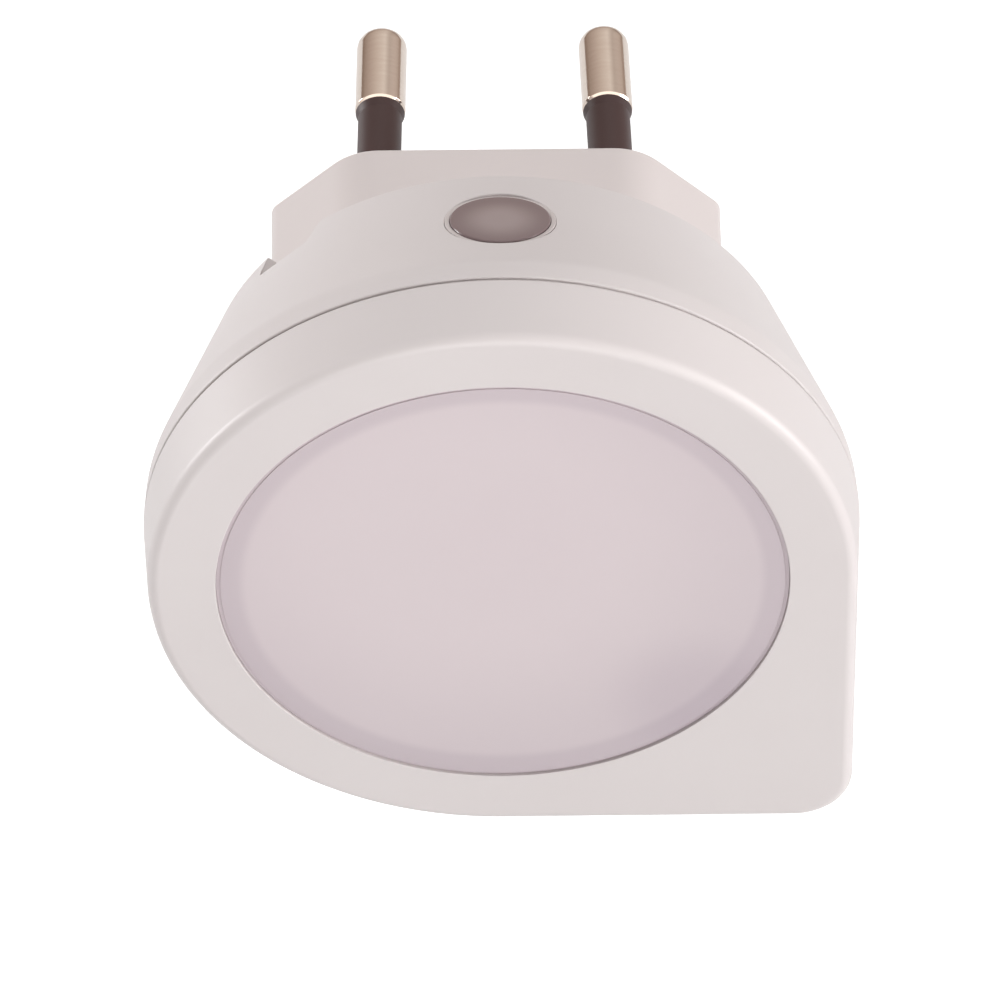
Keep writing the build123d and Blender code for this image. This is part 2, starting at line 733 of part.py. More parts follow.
with BuildPart() as transistor:
    with BuildSketch(at(driver_depth - transistor_standoff)):
        with Locations(transistor_centre):
            Circle(transistor_diameter / 2)
        with Locations((transistor_centre[0], transistor_centre[1] - transistor_flat)):
            Rectangle(transistor_diameter, transistor_diameter,
                      align=(Align.CENTER, Align.MAX), mode=Mode.SUBTRACT)
    extrude(amount=-transistor_height)
    flat_leads(transistor_leads, driver_depth - transistor_standoff, transistor_lead)
transistor.part.label = "transistor"

with BuildPart() as link_pins:
    with BuildSketch(at(driver_depth - solder_length)):
        with Locations(*link_points):
            Rectangle(link_pin, link_pin)
    extrude(amount=led_face_depth - driver_depth + solder_length)
link_pins.part.label = "link_pins"

with BuildPart() as link_header:
    with BuildSketch(at(driver_front_depth)):
        with Locations((0, link_height)):
            Rectangle(*link_block)
        with Locations(*link_points):
            Rectangle(link_pin, link_pin, mode=Mode.SUBTRACT)
    extrude(amount=link_block[1])
link_header.part.label = "link_header"


def make_wire(side, label):
    """Insulated lead from a pin's tail to the driver board, with its bare end soldered in."""
    start = (side * (pin_spacing_root / 2 + tail_end * sin(pin_lean)), -tail_end * cos(pin_lean))
    knee = (start[0] + side * wire_run * sin(pin_lean), start[1] - wire_run * cos(pin_lean))
    with BuildPart() as wire:
        bent_wire(Plane.XY, [start, knee, (side * wire_end, -driver_depth + wire_run),
                             (side * wire_end, -driver_depth)], wire_diameter)
        through_leads([(side * wire_end, 0)], driver_depth)
    wire.part.label = label
    return wire.part


lead_left = make_wire(-1, "lead_left")
lead_right = make_wire(1, "lead_right")

# ---------------------------------------------------------------- light sensor
with BuildPart() as sensor_window:
    top = window_plane.offset(-window_recess)
    with BuildSketch(top):
        Circle(window_diameter / 2)
    extrude(amount=-window_thickness)
    crown_radius = ((window_diameter / 2) ** 2 + window_dome ** 2) / (2 * window_dome)
    crown = Sphere(crown_radius, mode=Mode.PRIVATE)
    crown = top.offset(window_dome - crown_radius) * crown
    slab = top * Cylinder(window_diameter / 2, 2 * window_dome, mode=Mode.PRIVATE)
    add(crown & slab)
sensor_window.part.label = "sensor_window"

with BuildPart() as sensor_bezel:
    with BuildSketch(window_plane.offset(-bezel_inset)):
        Circle(bezel_diameter / 2)
    extrude(amount=-bezel_length)
    with BuildSketch(window_plane.offset(-collar_depth)):
        Circle(bezel_flange_diameter / 2)
    extrude(amount=-bezel_flange_thickness)
    with BuildSketch(window_plane):
        Circle(window_diameter / 2 + fit_gap / 2)
    extrude(amount=-window_recess - window_thickness, mode=Mode.SUBTRACT)
    with BuildSketch(window_plane):
        Circle(bezel_bore / 2)
    extrude(amount=-bezel_inset - bezel_length, mode=Mode.SUBTRACT)
sensor_bezel.part.label = "sensor_bezel"

with BuildPart() as photocell:
    with BuildSketch(window_plane.offset(-cell_face)):
        Circle(cell_diameter / 2)
    extrude(amount=-cell_thickness)
    cell_back = window_plane.offset(-cell_face - cell_thickness).origin
    for x, z in cell_leads:
        bend_y = -driver_depth + 2 * lead_bend
        bent_wire(Plane.YZ.offset(x), [(-solder_depth, z), (bend_y, z), (cell_back.Y, cell_back.Z)],
                  component_lead)
photocell.part.label = "photocell"

# ---------------------------------------------------------------- export
os.makedirs("parts", exist_ok=True)
assembly = [front_cover.part, diffuser.part, reflector.part, led_board.part, leds.part,
            chip_resistors.part, driver_board.part, board_screws.part, film_capacitor.part,
            electrolytic_capacitor.part, bridge_rectifier.part, fusible_resistor,
            bleed_resistor, zener_diode, transistor.part, link_pins.part, link_header.part,
            lead_left, lead_right, sensor_window.part, sensor_bezel.part, photocell.part,
            rear_housing.part, plug_body.part, pin_left, pin_right, sleeve_left, sleeve_right]
for piece in assembly:
    export_step(piece, "parts/" + piece.label + ".step")
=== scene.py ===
# %% [markdown]
# # A plug-in night light
# The light is a small moulded box that lives in a wall socket: a round opal window in a flat frame,
# a tapered housing behind it, and a flat two-pin plug at the back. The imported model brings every
# piece at its real size. This file gives the pieces their finish, and makes the shells that show
# again as fine surfaces with soft edges, because a moulded edge is never sharp and it is the soft
# edge that catches the light.

# %% Load the frame
import json
from math import atan2, cos, degrees, hypot, pi, radians, sin, tan

import bmesh
import bpy
import numpy as np
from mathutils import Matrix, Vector


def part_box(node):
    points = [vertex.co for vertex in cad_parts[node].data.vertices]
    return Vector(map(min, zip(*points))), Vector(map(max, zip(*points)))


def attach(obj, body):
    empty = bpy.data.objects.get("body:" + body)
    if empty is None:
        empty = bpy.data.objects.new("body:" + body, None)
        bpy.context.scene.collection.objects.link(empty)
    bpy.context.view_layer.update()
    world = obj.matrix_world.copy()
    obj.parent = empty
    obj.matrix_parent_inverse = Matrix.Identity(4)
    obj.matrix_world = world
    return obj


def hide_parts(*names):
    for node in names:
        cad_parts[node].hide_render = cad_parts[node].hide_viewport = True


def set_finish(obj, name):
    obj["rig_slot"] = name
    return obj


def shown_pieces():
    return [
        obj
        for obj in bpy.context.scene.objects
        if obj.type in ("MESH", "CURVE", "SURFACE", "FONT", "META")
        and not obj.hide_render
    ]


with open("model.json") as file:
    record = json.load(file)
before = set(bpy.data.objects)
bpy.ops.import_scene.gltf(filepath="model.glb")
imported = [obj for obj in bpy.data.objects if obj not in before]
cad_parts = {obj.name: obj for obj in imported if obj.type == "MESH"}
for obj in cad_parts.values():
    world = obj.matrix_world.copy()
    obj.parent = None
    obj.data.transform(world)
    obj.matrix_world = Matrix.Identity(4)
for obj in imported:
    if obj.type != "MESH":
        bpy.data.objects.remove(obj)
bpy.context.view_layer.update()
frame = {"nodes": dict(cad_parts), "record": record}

nodes = frame["nodes"]
mm = 0.001


# %% [markdown]
# ## Sizes
# Lengths are in millimetres here, as a moulder would write them, and turn into metres when a mesh
# is made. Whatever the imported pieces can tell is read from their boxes, so that each new surface
# fits the piece that it stands for. A depth is the distance from the plug's face towards the room,
# against Y, and a height is along Z.

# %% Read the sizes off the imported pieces
def reach_of(node):
    """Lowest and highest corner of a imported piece, in millimetres."""
    low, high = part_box(node)
    return np.array(low) / mm, np.array(high) / mm


cover_low, cover_high = reach_of("front_cover")
diffuser_low, diffuser_high = reach_of("diffuser")
housing_low, housing_high = reach_of("rear_housing")
plug_plate_radius = reach_of("plug_body")[1][0]

cover_height = 6.2  # visible wall of the cover with the seam's gap
seam_radius = cover_high[0]
front_depth = -cover_low[1]
tongue_end = -cover_high[1]
seam_depth = front_depth - cover_height
plug_reach = -housing_high[1]
diffuser_face = -diffuser_low[1]
diffuser_back = -diffuser_high[1]
flange_radius = diffuser_high[0]
print("frame", round(seam_radius, 2), "mm radius, front at", round(front_depth, 2))


# %% [markdown]
# ## Soft corners
# Every shell is drawn as a profile, a few corners joined by straight runs. A toolmaker gives each
# corner its own radius. The helper below turns each corner into an arc, and puts one more point a
# little way along the straight on either side of it. Without those two points the smooth shading
# of the arc would bleed across the whole flat face beside it.

# %% Round the corners of a profile
arc_steps = 5
hold_length = 0.12  # mm from an arc to the point that keeps the flat beside it flat


def rounded(profile, closed=True):
    """Profile with its corners rounded.

    A row holds a radius, a corner radius, a depth and the rounding of that corner. Each corner
    becomes points at equal angles on the circle that touches both straight runs: the centre, plus
    the two spokes to the touching points, mixed by sin((1 - s) t) / sin t and sin(s t) / sin t,
    where t is the turn and s goes from 0 to 1.
    """
    rows = np.array(profile, float)
    place, rounding = rows[:, :3], rows[:, 3]
    last = len(rows) - 1
    share = np.linspace(0, 1, arc_steps + 1)[:, None]
    parts = []
    for i, here in enumerate(place):
        if rounding[i] == 0 or (not closed and i in (0, last)):
            parts.append(here[None])
            continue
        back, ahead = place[i - 1] - here, place[(i + 1) % len(rows)] - here
        back_length, ahead_length = hypot(back[0], back[2]), hypot(ahead[0], ahead[2])
        back, ahead = back / back_length, ahead / ahead_length
        inside = np.arccos(np.clip(back[0] * ahead[0] + back[2] * ahead[2], -1, 1))
        turn = pi - inside
        touch = rounding[i] / tan(inside / 2)
        centre = here + rounding[i] / sin(inside) * (back + ahead)
        first, final = here + touch * back - centre, here + touch * ahead - centre
        spokes = np.sin((1 - share) * turn) * first + np.sin(share * turn) * final
        arc = centre + spokes / sin(turn)
        hold_back = touch + min(hold_length, (back_length - touch) / 4)
        hold_ahead = touch + min(hold_length, (ahead_length - touch) / 4)
        parts += [(here + hold_back * back)[None], arc, (here + hold_ahead * ahead)[None]]
    return np.concatenate(parts)


print("points for each corner", arc_steps + 3)


# %% [markdown]
# ## One outline for circles and for the frame
# Seen from the front, the frame is a circle whose lower right quarter is squared off, with a
# rounded corner. Seen from the middle, every direction meets that outline just once, so it can be
# written as a distance for each angle. When the corner's radius grows to the outline's own
# radius, the same formula gives a plain circle. That lets one grid run from the square corner
# outside to the round opening inside without a break.

# %% The outline as a distance for each angle
column_step = 1.5
corner_half_span = 9.0
corner_columns = 40
coarse = np.arange(-45 + corner_half_span, 315 - corner_half_span, column_step)
fine = np.linspace(-45 - corner_half_span, -45 + corner_half_span, corner_columns, endpoint=False)
angles = np.radians(np.concatenate([fine, coarse]))


def outline_reach(radius, corner, turn=angles):
    """Distance from the axis to the outline, for each angle.

    In the lower right quarter a ray first meets x = radius or z = -radius, and near the diagonal
    the corner's circle, whose centre is (radius - corner) along both: there the distance is
    k (cos + sin) + sqrt((k (cos + sin))^2 - 2 k^2 + corner^2). Elsewhere it is the radius.
    """
    across, down = np.cos(turn), -np.sin(turn)
    inner = radius - corner
    middle = inner * (across + down)
    arc = middle + np.sqrt(np.maximum(middle ** 2 - 2 * inner ** 2 + corner ** 2, 0))
    on_side = down * radius < inner * across
    on_base = across * radius < inner * down
    straight = radius / np.maximum(np.where(on_side, across, down), 1e-9)
    quarter = (across > 0) & (down > 0)
    return np.where(quarter, np.where(on_side | on_base, straight, arc), radius)


def rings(profile, turn=angles):
    """Grid of points for a profile carried round the axis: one row for each profile point."""
    reach = np.array([outline_reach(radius, corner, turn) for radius, corner, _ in profile])
    depth = np.repeat(profile[:, 2:3], len(turn), axis=1)
    return np.stack([reach * np.cos(turn), reach * np.sin(turn), depth], axis=-1)


turned_columns = np.linspace(0, 2 * pi, 96, endpoint=False)
print("columns round the outline", len(angles))


# %% [markdown]
# ## From a grid to a piece
# A grid of points becomes a mesh of quads. Its columns close on themselves, and its rows either
# close too, as in a tyre, or end in a pole, where all points of the row are one. Points that fall
# together are merged, and the normals are worked out again afterwards, so that each shell is one
# closed skin that faces outwards.

# %% Make a mesh from grids
housing_axes = np.array([[1, 0, 0], [0, 0, 1], [0, -1, 0]], float)  # right, up, towards the room
merge_distance = 1e-7
sharp_angle = radians(32)


def grid_quads(rows, columns, start, loop):
    """Corner numbers of a grid's quads, the last column joined to the first, and the last row
    joined to the first where loop is set."""
    row = np.arange(rows if loop else rows - 1)[:, None]
    column = np.arange(columns)[None]
    ahead, beside = (row + 1) % rows, (column + 1) % columns
    corners = [row * columns + column, row * columns + beside,
               ahead * columns + beside, ahead * columns + column]
    return start + np.stack(np.broadcast_arrays(*corners), axis=-1).reshape(-1, 4)


def placed(grid, origin=(0, 0, 0), axes=housing_axes):
    """Grid on its own axes put into the part's frame: coordinates times axes, plus the origin."""
    return grid @ axes + np.array(origin)


def grid_mesh(name, *grids):
    """Mesh of one or more closed skins, from grids in millimetres in the part's frame."""
    points, quads, start = [], [], 0
    for grid in grids:
        rows, columns = grid.shape[:2]
        between_poles = np.ptp(grid[[0, -1]], axis=1).max() < merge_distance
        points.append(grid.reshape(-1, 3))
        quads.append(grid_quads(rows, columns, start, loop=not between_poles))
        start += rows * columns
    mesh = bpy.data.meshes.new(name)
    mesh.from_pydata(np.concatenate(points) * mm, [], np.concatenate(quads))
    skin = bmesh.new()
    skin.from_mesh(mesh)
    bmesh.ops.remove_doubles(skin, verts=skin.verts, dist=merge_distance)
    bmesh.ops.recalc_face_normals(skin, faces=skin.faces)
    skin.to_mesh(mesh)
    skin.free()
    return mesh


def show(name, thing):
    """Object for a mesh or a lamp, put in the scene."""
    made = bpy.data.objects.new(name, thing)
    bpy.context.scene.collection.objects.link(made)
    return made


def make_piece(name, mesh, node, slot):
    """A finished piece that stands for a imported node: smooth, apart from its real edges."""
    mesh.polygons.foreach_set("use_smooth", np.ones(len(mesh.polygons), bool))
    mesh.set_sharp_from_angle(angle=sharp_angle)
    piece = show(name, mesh)
    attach(piece, "root")
    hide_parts(node)
    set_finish(piece, slot)
    check = bmesh.new()
    check.from_mesh(mesh)
    print(name, "faces", len(check.faces), "volume mm3", round(check.calc_volume() / mm ** 3, 1),
          "open edges", sum(not edge.is_manifold for edge in check.edges))
    check.free()
    return piece


# %% [markdown]
# ## The front cover
# The cover is one moulding: a wall with a little draft, a flat frame with a soft outer edge, the
# round opening, a low ring behind it that centres the opal window, and a tongue that snaps into
# the housing. All of that is one closed profile. It starts at the seam, runs up the outside, over
# the frame into the opening, and comes back inside and down the tongue.

# %% Front cover
cover_corner = 4.5
cover_draft = 0.35
seam_gap = 0.2
lip_inset, lip_gap = 0.2, 0.01  # lip that closes the bottom of the seam
front_edge = 0.8
seam_edge = 0.18
opening_edge = 0.05
inner_edge = 0.08
opening_radius = 22.0
front_wall = 2.2
ring_inner, ring_outer, ring_height = 23.6, 24.4, 1.5
tongue_radius, tongue_thickness = 26.3, 1.0

face_radius = seam_radius - cover_draft
ceiling_depth = front_depth - front_wall
cover_seam = seam_depth + seam_gap
bore_radius = tongue_radius - tongue_thickness
flat_start = 1.2  # where the frame's flat takes over from the offset outline
circle_margin, frame_margin = 0.3, 0.2  # the same change on the inside
lip_edge = 0.05


def circle_row(radius, depth, rounding=0.0):
    """Profile row on a plain circle."""
    return radius, radius, depth, rounding


def frame_row(radius, depth, rounding=0.0):
    """Profile row on the frame's outline, moved in from the seam with its corner."""
    return radius, cover_corner - (seam_radius - radius), depth, rounding


cover_profile = [
    (seam_radius, cover_corner, cover_seam, seam_edge),
    (face_radius, cover_corner, front_depth, front_edge),
    (face_radius - flat_start, cover_corner - flat_start, front_depth, 0),
    circle_row(opening_radius + flat_start, front_depth),
    circle_row(opening_radius, front_depth, opening_edge),
    circle_row(opening_radius, ceiling_depth, inner_edge),
    circle_row(ring_inner, ceiling_depth, inner_edge),
    circle_row(ring_inner, ceiling_depth - ring_height, inner_edge),
    circle_row(ring_outer, ceiling_depth - ring_height, inner_edge),
    circle_row(ring_outer, ceiling_depth, inner_edge),
    circle_row(ring_outer + circle_margin, ceiling_depth),
    frame_row(bore_radius - frame_margin, ceiling_depth),
    frame_row(bore_radius, ceiling_depth, inner_edge),
    frame_row(bore_radius, tongue_end, inner_edge),
    frame_row(tongue_radius, tongue_end, inner_edge),
    frame_row(tongue_radius, seam_depth + lip_gap, inner_edge),
    frame_row(seam_radius - lip_inset, seam_depth + lip_gap, inner_edge),
    frame_row(seam_radius - lip_inset, cover_seam, lip_edge),
]
make_piece("cover_shell", grid_mesh("cover_shell", placed(rings(rounded(cover_profile)))),
           "front_cover", "housing")


# %% [markdown]
# ## The rear housing
# The housing is one moulding too. Its outside runs from the seam over a soft crease, down the
# taper and round the rear rim. Inside are a seat for the plug's round plate, a ledge for its clips
# and a step for the cover's tongue. A notch in the rim at the upper left lets a screwdriver pry
# the plate out. The notch could be cut out of the finished shell, but a cut leaves hard edges. So
# the columns that pass through it are led down and up again along the notch's own rounded
# profile, and its edges come out as soft as a mould leaves them.

# %% Rear housing: sizes and profile
rear_radius, crease_radius, crease_depth = 22.5, 27.4, 32.1
rear_edge, hole_edge, crease_round = 0.4, 0.12, 3.0
taper_count, taper_margin = 8, 1.2  # rows on the taper, and how far they keep from its ends
plate_hole, plate_depth = 20.2, 20.6
ledge_radius, ledge_depth = 18.6, 23.0
ring_foot_radius = 21.8
housing_wall, skin = 2.0, 1.0
rebate_radius = crease_radius - skin
slope = atan2(crease_radius - rear_radius, crease_depth - plug_reach)
inside_step = housing_wall / cos(slope)
inside_corner = cover_corner - housing_wall


def taper_radius(depth):
    """Radius of the taper's outside: it grows by tan(slope) for each millimetre of depth."""
    return rear_radius + (depth - plug_reach) * tan(slope)


taper_rows = [(taper_radius(d), cover_corner, d, 0)
              for d in np.linspace(crease_depth - taper_margin, plug_reach + taper_margin,
                                   taper_count)]
shell_profile = [
    (rebate_radius, cover_corner - skin, seam_depth, inner_edge),
    (seam_radius, cover_corner, seam_depth, seam_edge),
    (crease_radius, cover_corner, crease_depth, crease_round),
    *taper_rows,
    (rear_radius, cover_corner, plug_reach, rear_edge),
    circle_row(plate_hole, plug_reach, hole_edge),
    circle_row(plate_hole, plate_depth, inner_edge),
    circle_row(ledge_radius, plate_depth, inner_edge),
    circle_row(ledge_radius, ledge_depth, inner_edge),
    circle_row(ring_foot_radius, ledge_depth, inner_edge),
    circle_row(ring_foot_radius, plate_depth),
    (taper_radius(plate_depth) - inside_step, inside_corner, plate_depth, 0),
    (taper_radius(tongue_end) - inside_step, inside_corner, tongue_end, inner_edge),
    (rebate_radius, cover_corner - skin, tongue_end, inner_edge),
]
print("taper", round(degrees(slope), 1), "degrees, profile rows", len(shell_profile))


# %% Rear housing: columns, with those that follow the notch
notch_middle, notch_half = radians(134.75), 2.86
notch_depth, notch_pull, notch_slant = 2.8, 1.0, 0.7
notch_edge, notch_far_edge = 0.6, 0.15
notch_lead, notch_tail = 2.2, 1.6  # mm of plain rim before and after it
parallel_reach, parallel_fade = 1.5, 1.2
window_span, window_columns = 18, 49  # degrees to either side of the sensor, closely spaced
before_columns, after_columns = 10, 108
notch_profile = [
    (-notch_half - notch_lead, 0, 0, 0),
    (-notch_half, 0, 0, notch_edge),
    (-notch_half + notch_slant, 0, notch_depth, notch_edge),
    (notch_half, 0, notch_depth, notch_edge),
    (notch_half, 0, 0, notch_far_edge),
    (notch_half + notch_tail, 0, 0, 0),
]
notch_points = rounded(notch_profile, closed=False)
notch_offset, notch_dip = notch_points[:, 0], notch_points[:, 2]
notch_first, notch_last = notch_middle + np.arcsin(notch_offset[[0, -1]] / rear_radius)

before = np.linspace(pi / 2 + radians(window_span), notch_first, before_columns)[1:-1]
after = np.linspace(notch_last, radians(315 - corner_half_span), after_columns)[1:-1]
shell_angles = np.concatenate([
    np.radians(fine),
    np.arange(radians(-45 + corner_half_span), radians(90 - window_span),
              radians(column_step)),
    np.linspace(radians(90 - window_span), radians(90 + window_span), window_columns),
    before,
    np.linspace(notch_first, notch_last, len(notch_points)),
    after])
first_notch_column = len(shell_angles) - len(after) - len(notch_points)
in_notch = slice(first_notch_column, first_notch_column + len(notch_points))
offset, dip, parallel = (np.zeros(len(shell_angles)) for _ in range(3))
offset[in_notch], dip[in_notch] = notch_offset, notch_dip
parallel[in_notch] = np.clip((notch_half + parallel_reach - abs(notch_offset))
                             / parallel_fade, 0, 1)


def shell_grid():
    """Grid of the rear housing, with the notch.

    In the notch a column's angle on the rim is the arc sine of its offset over the radius, so
    that the notch's sides stay parallel, and it fades to the even angles at the crease. The dip
    moves the outside down the taper by the share of the way from crease to rim, the inner rim
    straight down, and both inner edges in under the plate.
    """
    profile = rounded(shell_profile)
    radius, corner, depth = profile.T[:, :, None]
    row = np.arange(len(profile))[:, None]
    inward = np.argmax(radius < (plate_hole + rear_radius) / 2)
    ledge = np.argmax(radius < (plate_hole + ledge_radius) / 2)
    outside = row < inward
    edge = (row >= inward) & (row < ledge)
    rim = edge & (depth < (plug_reach + plate_depth) / 2)
    way = np.clip((crease_depth - depth) / (crease_depth - plug_reach), 0, 1) * outside
    follow = way + edge
    turn_at_rim = np.broadcast_to(shell_angles, (len(profile), len(shell_angles))).copy()
    wanted = np.arcsin(offset / radius)[:, in_notch]
    reference = np.arcsin(offset / rear_radius)[in_notch]
    turn_at_rim[:, in_notch] = (notch_middle + reference
                                + parallel[in_notch] * (wanted - reference))
    turn = shell_angles + follow * (turn_at_rim - shell_angles)
    sink = (way + rim) * dip
    reach = outline_reach(radius, corner, turn) + way * dip * tan(slope)
    reach = reach - edge * notch_pull * dip / notch_depth
    depth = depth + sink
    # the ring inside stands on the taper where it is narrow, and on the floor in the corner
    foot = np.flatnonzero((profile[:, 0] == ring_foot_radius) & (profile[:, 2] == plate_depth))[0]
    floor_reach, ledge_reach = (outline_reach(taper_radius(d) - inside_step, inside_corner,
                                              shell_angles) for d in (plate_depth, ledge_depth))
    climb = np.clip((ring_foot_radius - floor_reach) / (ledge_reach - floor_reach), 0, 1)
    depth[foot] = depth[foot + 1] = plate_depth + climb * (ledge_depth - plate_depth)
    reach[foot + 1] = np.maximum(ring_foot_radius, floor_reach)
    return np.stack([reach * np.cos(turn), reach * np.sin(turn), depth], axis=-1)


print("housing columns", len(shell_angles), "of them in the notch", len(notch_points))


# %% [markdown]
# ## The sensor's opening
# The opening is square to the slope, so its edge is a circle that is bent over the taper. It is
# cut out with a tool that is shaped like the cutter a toolmaker would use: a straight bore with a
# flare at its mouth that follows the bent surface. The flare leaves a soft edge of even width all
# the way round. Behind the wall the same tool clears the room for the bezel's flange.

# %% Window axes, and the tool for the opening
window_shift = 0.15  # from the middle of the taper towards the room
window_depth = (plug_reach + crease_depth) / 2 + window_shift
window_place = np.array([0, -window_depth, taper_radius(window_depth)])
window_axes = np.array([[1, 0, 0], [0, -cos(slope), sin(slope)], [0, sin(slope), cos(slope)]])
opening_bore, opening_flare = 4.25, 0.12
collar_radius, collar_depth = 6.0, 2.9
flange_room, tool_end, tool_top = 5.4, 8.5, 2.0
newton_steps = 8
flare_turn = 90, 4, 8  # degrees at its foot and its lip, and its rows
tool_columns = np.linspace(0, 2 * pi, 120, endpoint=False)


def taper_height(across, along):
    """Height of the taper above the window's plane: Newton steps on the distance to the axis
    minus the taper's radius, whose slope along the height is one over cos(slope)."""
    height = np.zeros_like(across)
    for _ in range(newton_steps):
        up = window_place[2] + along * sin(slope) + height * cos(slope)
        depth = window_depth + along * cos(slope) - height * sin(slope)
        height = height - (np.hypot(across, up) - taper_radius(depth)) * cos(slope)
    return height


def opening_tool():
    """Grid of the cutting tool: bore, flare and clearance, each row at a distance from the
    window's axis, the flare's rows measured from the taper's height there."""
    spread = np.radians(np.linspace(*flare_turn))
    flare = opening_bore + opening_flare * (1 - np.sin(spread))
    fall = opening_flare * (1 - np.cos(spread))
    rows = [(0, -tool_end), (flange_room, -tool_end), (flange_room, -collar_depth),
            (opening_bore, -collar_depth)]
    circle = np.stack([np.cos(tool_columns), np.sin(tool_columns)], axis=-1)
    below = [np.column_stack([circle * r, np.full(len(circle), h)]) for r, h in rows]
    mouth = [np.column_stack([circle * r, taper_height(*(circle * r).T) - drop])
             for r, drop in zip(flare, fall)]
    above = [np.column_stack([circle * r, np.full(len(circle), tool_top)])
             for r in (flare[-1], 0)]
    return np.stack(below + mouth + above)


print("window at", np.round(window_place, 2), "mm, bore", opening_bore, "mm radius")


# %% [markdown]
# ## What stands inside the housing
# The collar round the sensor, three posts for the driver board and four ribs that hold the
# reflector are part of the same moulding. They are joined to the shell as solids, and then the
# tool cuts the opening through shell and collar together.

# %% Rear housing: collar, posts and ribs
post_ring, post_radius, post_foot, post_top = 19.2, 2.1, 22.7, 27.0
pilot_radius, pilot_end = 0.95, 23.8
post_twist = 0.04  # keeps the posts' edges off the shell's own columns
rib_inner, rib_outer, rib_half, rib_root, rib_foot = 22.3, 24.9, 0.8, 22.6, 27.9
rib_end = -housing_low[1]
gusset_root, gusset_foot, gusset_top = 19.8, 27.8, 26.6
fan_centre = (23.2, 24.5)  # a point in the rib's outline that sees all its corners

collar_bore = opening_bore - 0.5  # the tool opens it to the full bore

post_profile = [circle_row(0, post_foot), circle_row(post_radius, post_foot),
                circle_row(post_radius, post_top), circle_row(pilot_radius, post_top),
                circle_row(pilot_radius, pilot_end), circle_row(0, pilot_end)]
collar_profile = [circle_row(collar_bore, -collar_depth),
                  circle_row(collar_radius, -collar_depth),
                  circle_row(collar_radius, -housing_wall / 2),
                  circle_row(collar_bore, -housing_wall / 2)]
rib_outline = [(rib_inner, rib_root), (rib_outer, rib_foot), (rib_outer, rib_end),
               (rib_inner, rib_end)]
gusset_outline = [(rib_inner, gusset_root), (gusset_foot, gusset_root),
                  (gusset_foot, plate_depth), (rib_outer, gusset_top),
                  (rib_outer, rib_end), (rib_inner, rib_end)]


def plate_grid(outline, angle):
    """Flat rib in the plane of the axis and an angle: its outline of radius and depth, moved half
    the thickness to either side, with a fan from one point inside it on each face."""
    corners = np.array(outline)
    fan = np.tile(fan_centre, (len(corners), 1))
    aside = np.array([-rib_half, -rib_half, rib_half, rib_half])[:, None]
    radius, depth = np.moveaxis(np.stack([fan, corners, corners, fan]), -1, 0)
    across = radius * cos(angle) - aside * sin(angle)
    up = radius * sin(angle) + aside * cos(angle)
    return placed(np.stack([across, up, depth], axis=-1))


def post_grid(angle):
    """One post with its pilot hole, a turned shape at its place on the post ring."""
    turned = rings(np.array(post_profile)[:, :3], turned_columns[::3] + post_twist)
    return placed(turned + np.array([post_ring * cos(angle), post_ring * sin(angle), 0]))


def carve(blank, *steps):
    """Mesh after joining ("UNION") and cutting ("DIFFERENCE") solid meshes in turn."""
    body = show("blank", blank)
    tools = []
    for operation, tool in steps:
        tools.append(show("tool", tool))
        step = body.modifiers.new(operation, "BOOLEAN")
        step.operation, step.object, step.solver = operation, tools[-1], "EXACT"
    ready = body.evaluated_get(bpy.context.evaluated_depsgraph_get())
    mesh = bpy.data.meshes.new_from_object(ready)
    for leftover in [body, *tools]:
        bpy.data.objects.remove(leftover)
    return mesh


collar = placed(rings(np.array(collar_profile)[:, :3], turned_columns), window_place, window_axes)
posts = [post_grid(radians(a)) for a in (0, 180, 270)]
ribs = [plate_grid(rib_outline, radians(a)) for a in (45, 135, 225)]
gusset = plate_grid(gusset_outline, radians(315))
housing_mesh = carve(
    grid_mesh("housing_shell", placed(shell_grid())),
    ("UNION", grid_mesh("collar", collar)),
    ("UNION", grid_mesh("inside", *posts, *ribs, gusset)),
    ("DIFFERENCE", grid_mesh("opening", placed(opening_tool(), window_place, window_axes))))
housing_shell = make_piece("housing_shell", housing_mesh, "rear_housing", "housing")


# %% [markdown]
# The shell was cut and its columns crowd together beside the notch, so the averaged normals there
# are a little off, and light shows it. But the taper is a cone, and a cone's normal is known
# everywhere. Every corner that lies on it is given that normal instead.

# %% Rear housing: the taper's own normals
def taper_normals(mesh):
    """Sets the normal of the corners on the cone: cos(slope) outwards along the radius and
    sin(slope) back along Y. A zero vector keeps the averaged normal of every other corner."""
    vertex = np.empty(len(mesh.loops), int)
    mesh.loops.foreach_get("vertex_index", vertex)
    place = np.empty(3 * len(mesh.vertices))
    mesh.vertices.foreach_get("co", place)
    face_normal = np.empty(3 * len(mesh.polygons))
    mesh.polygons.foreach_get("normal", face_normal)
    sides = np.empty(len(mesh.polygons), int)
    mesh.polygons.foreach_get("loop_total", sides)
    x, y, z = place.reshape(-1, 3)[vertex].T / mm
    reach = np.hypot(x, z)
    cone = np.stack([x / reach * cos(slope), np.full_like(x, sin(slope)), z / reach * cos(slope)],
                    axis=-1)
    on_taper = abs(reach - taper_radius(-y)) < taper_tolerance
    agreement = (np.repeat(face_normal.reshape(-1, 3), sides, axis=0) * cone).sum(axis=1)
    chosen = on_taper & (agreement > least_agreement)
    mesh.normals_split_custom_set(np.where(chosen[:, None], cone, 0.0).tolist())
    return chosen.sum()


taper_tolerance = 0.002  # mm
least_agreement = 0.9  # cosine between a face's normal and the cone's
print("corners on the taper", taper_normals(housing_shell.data))
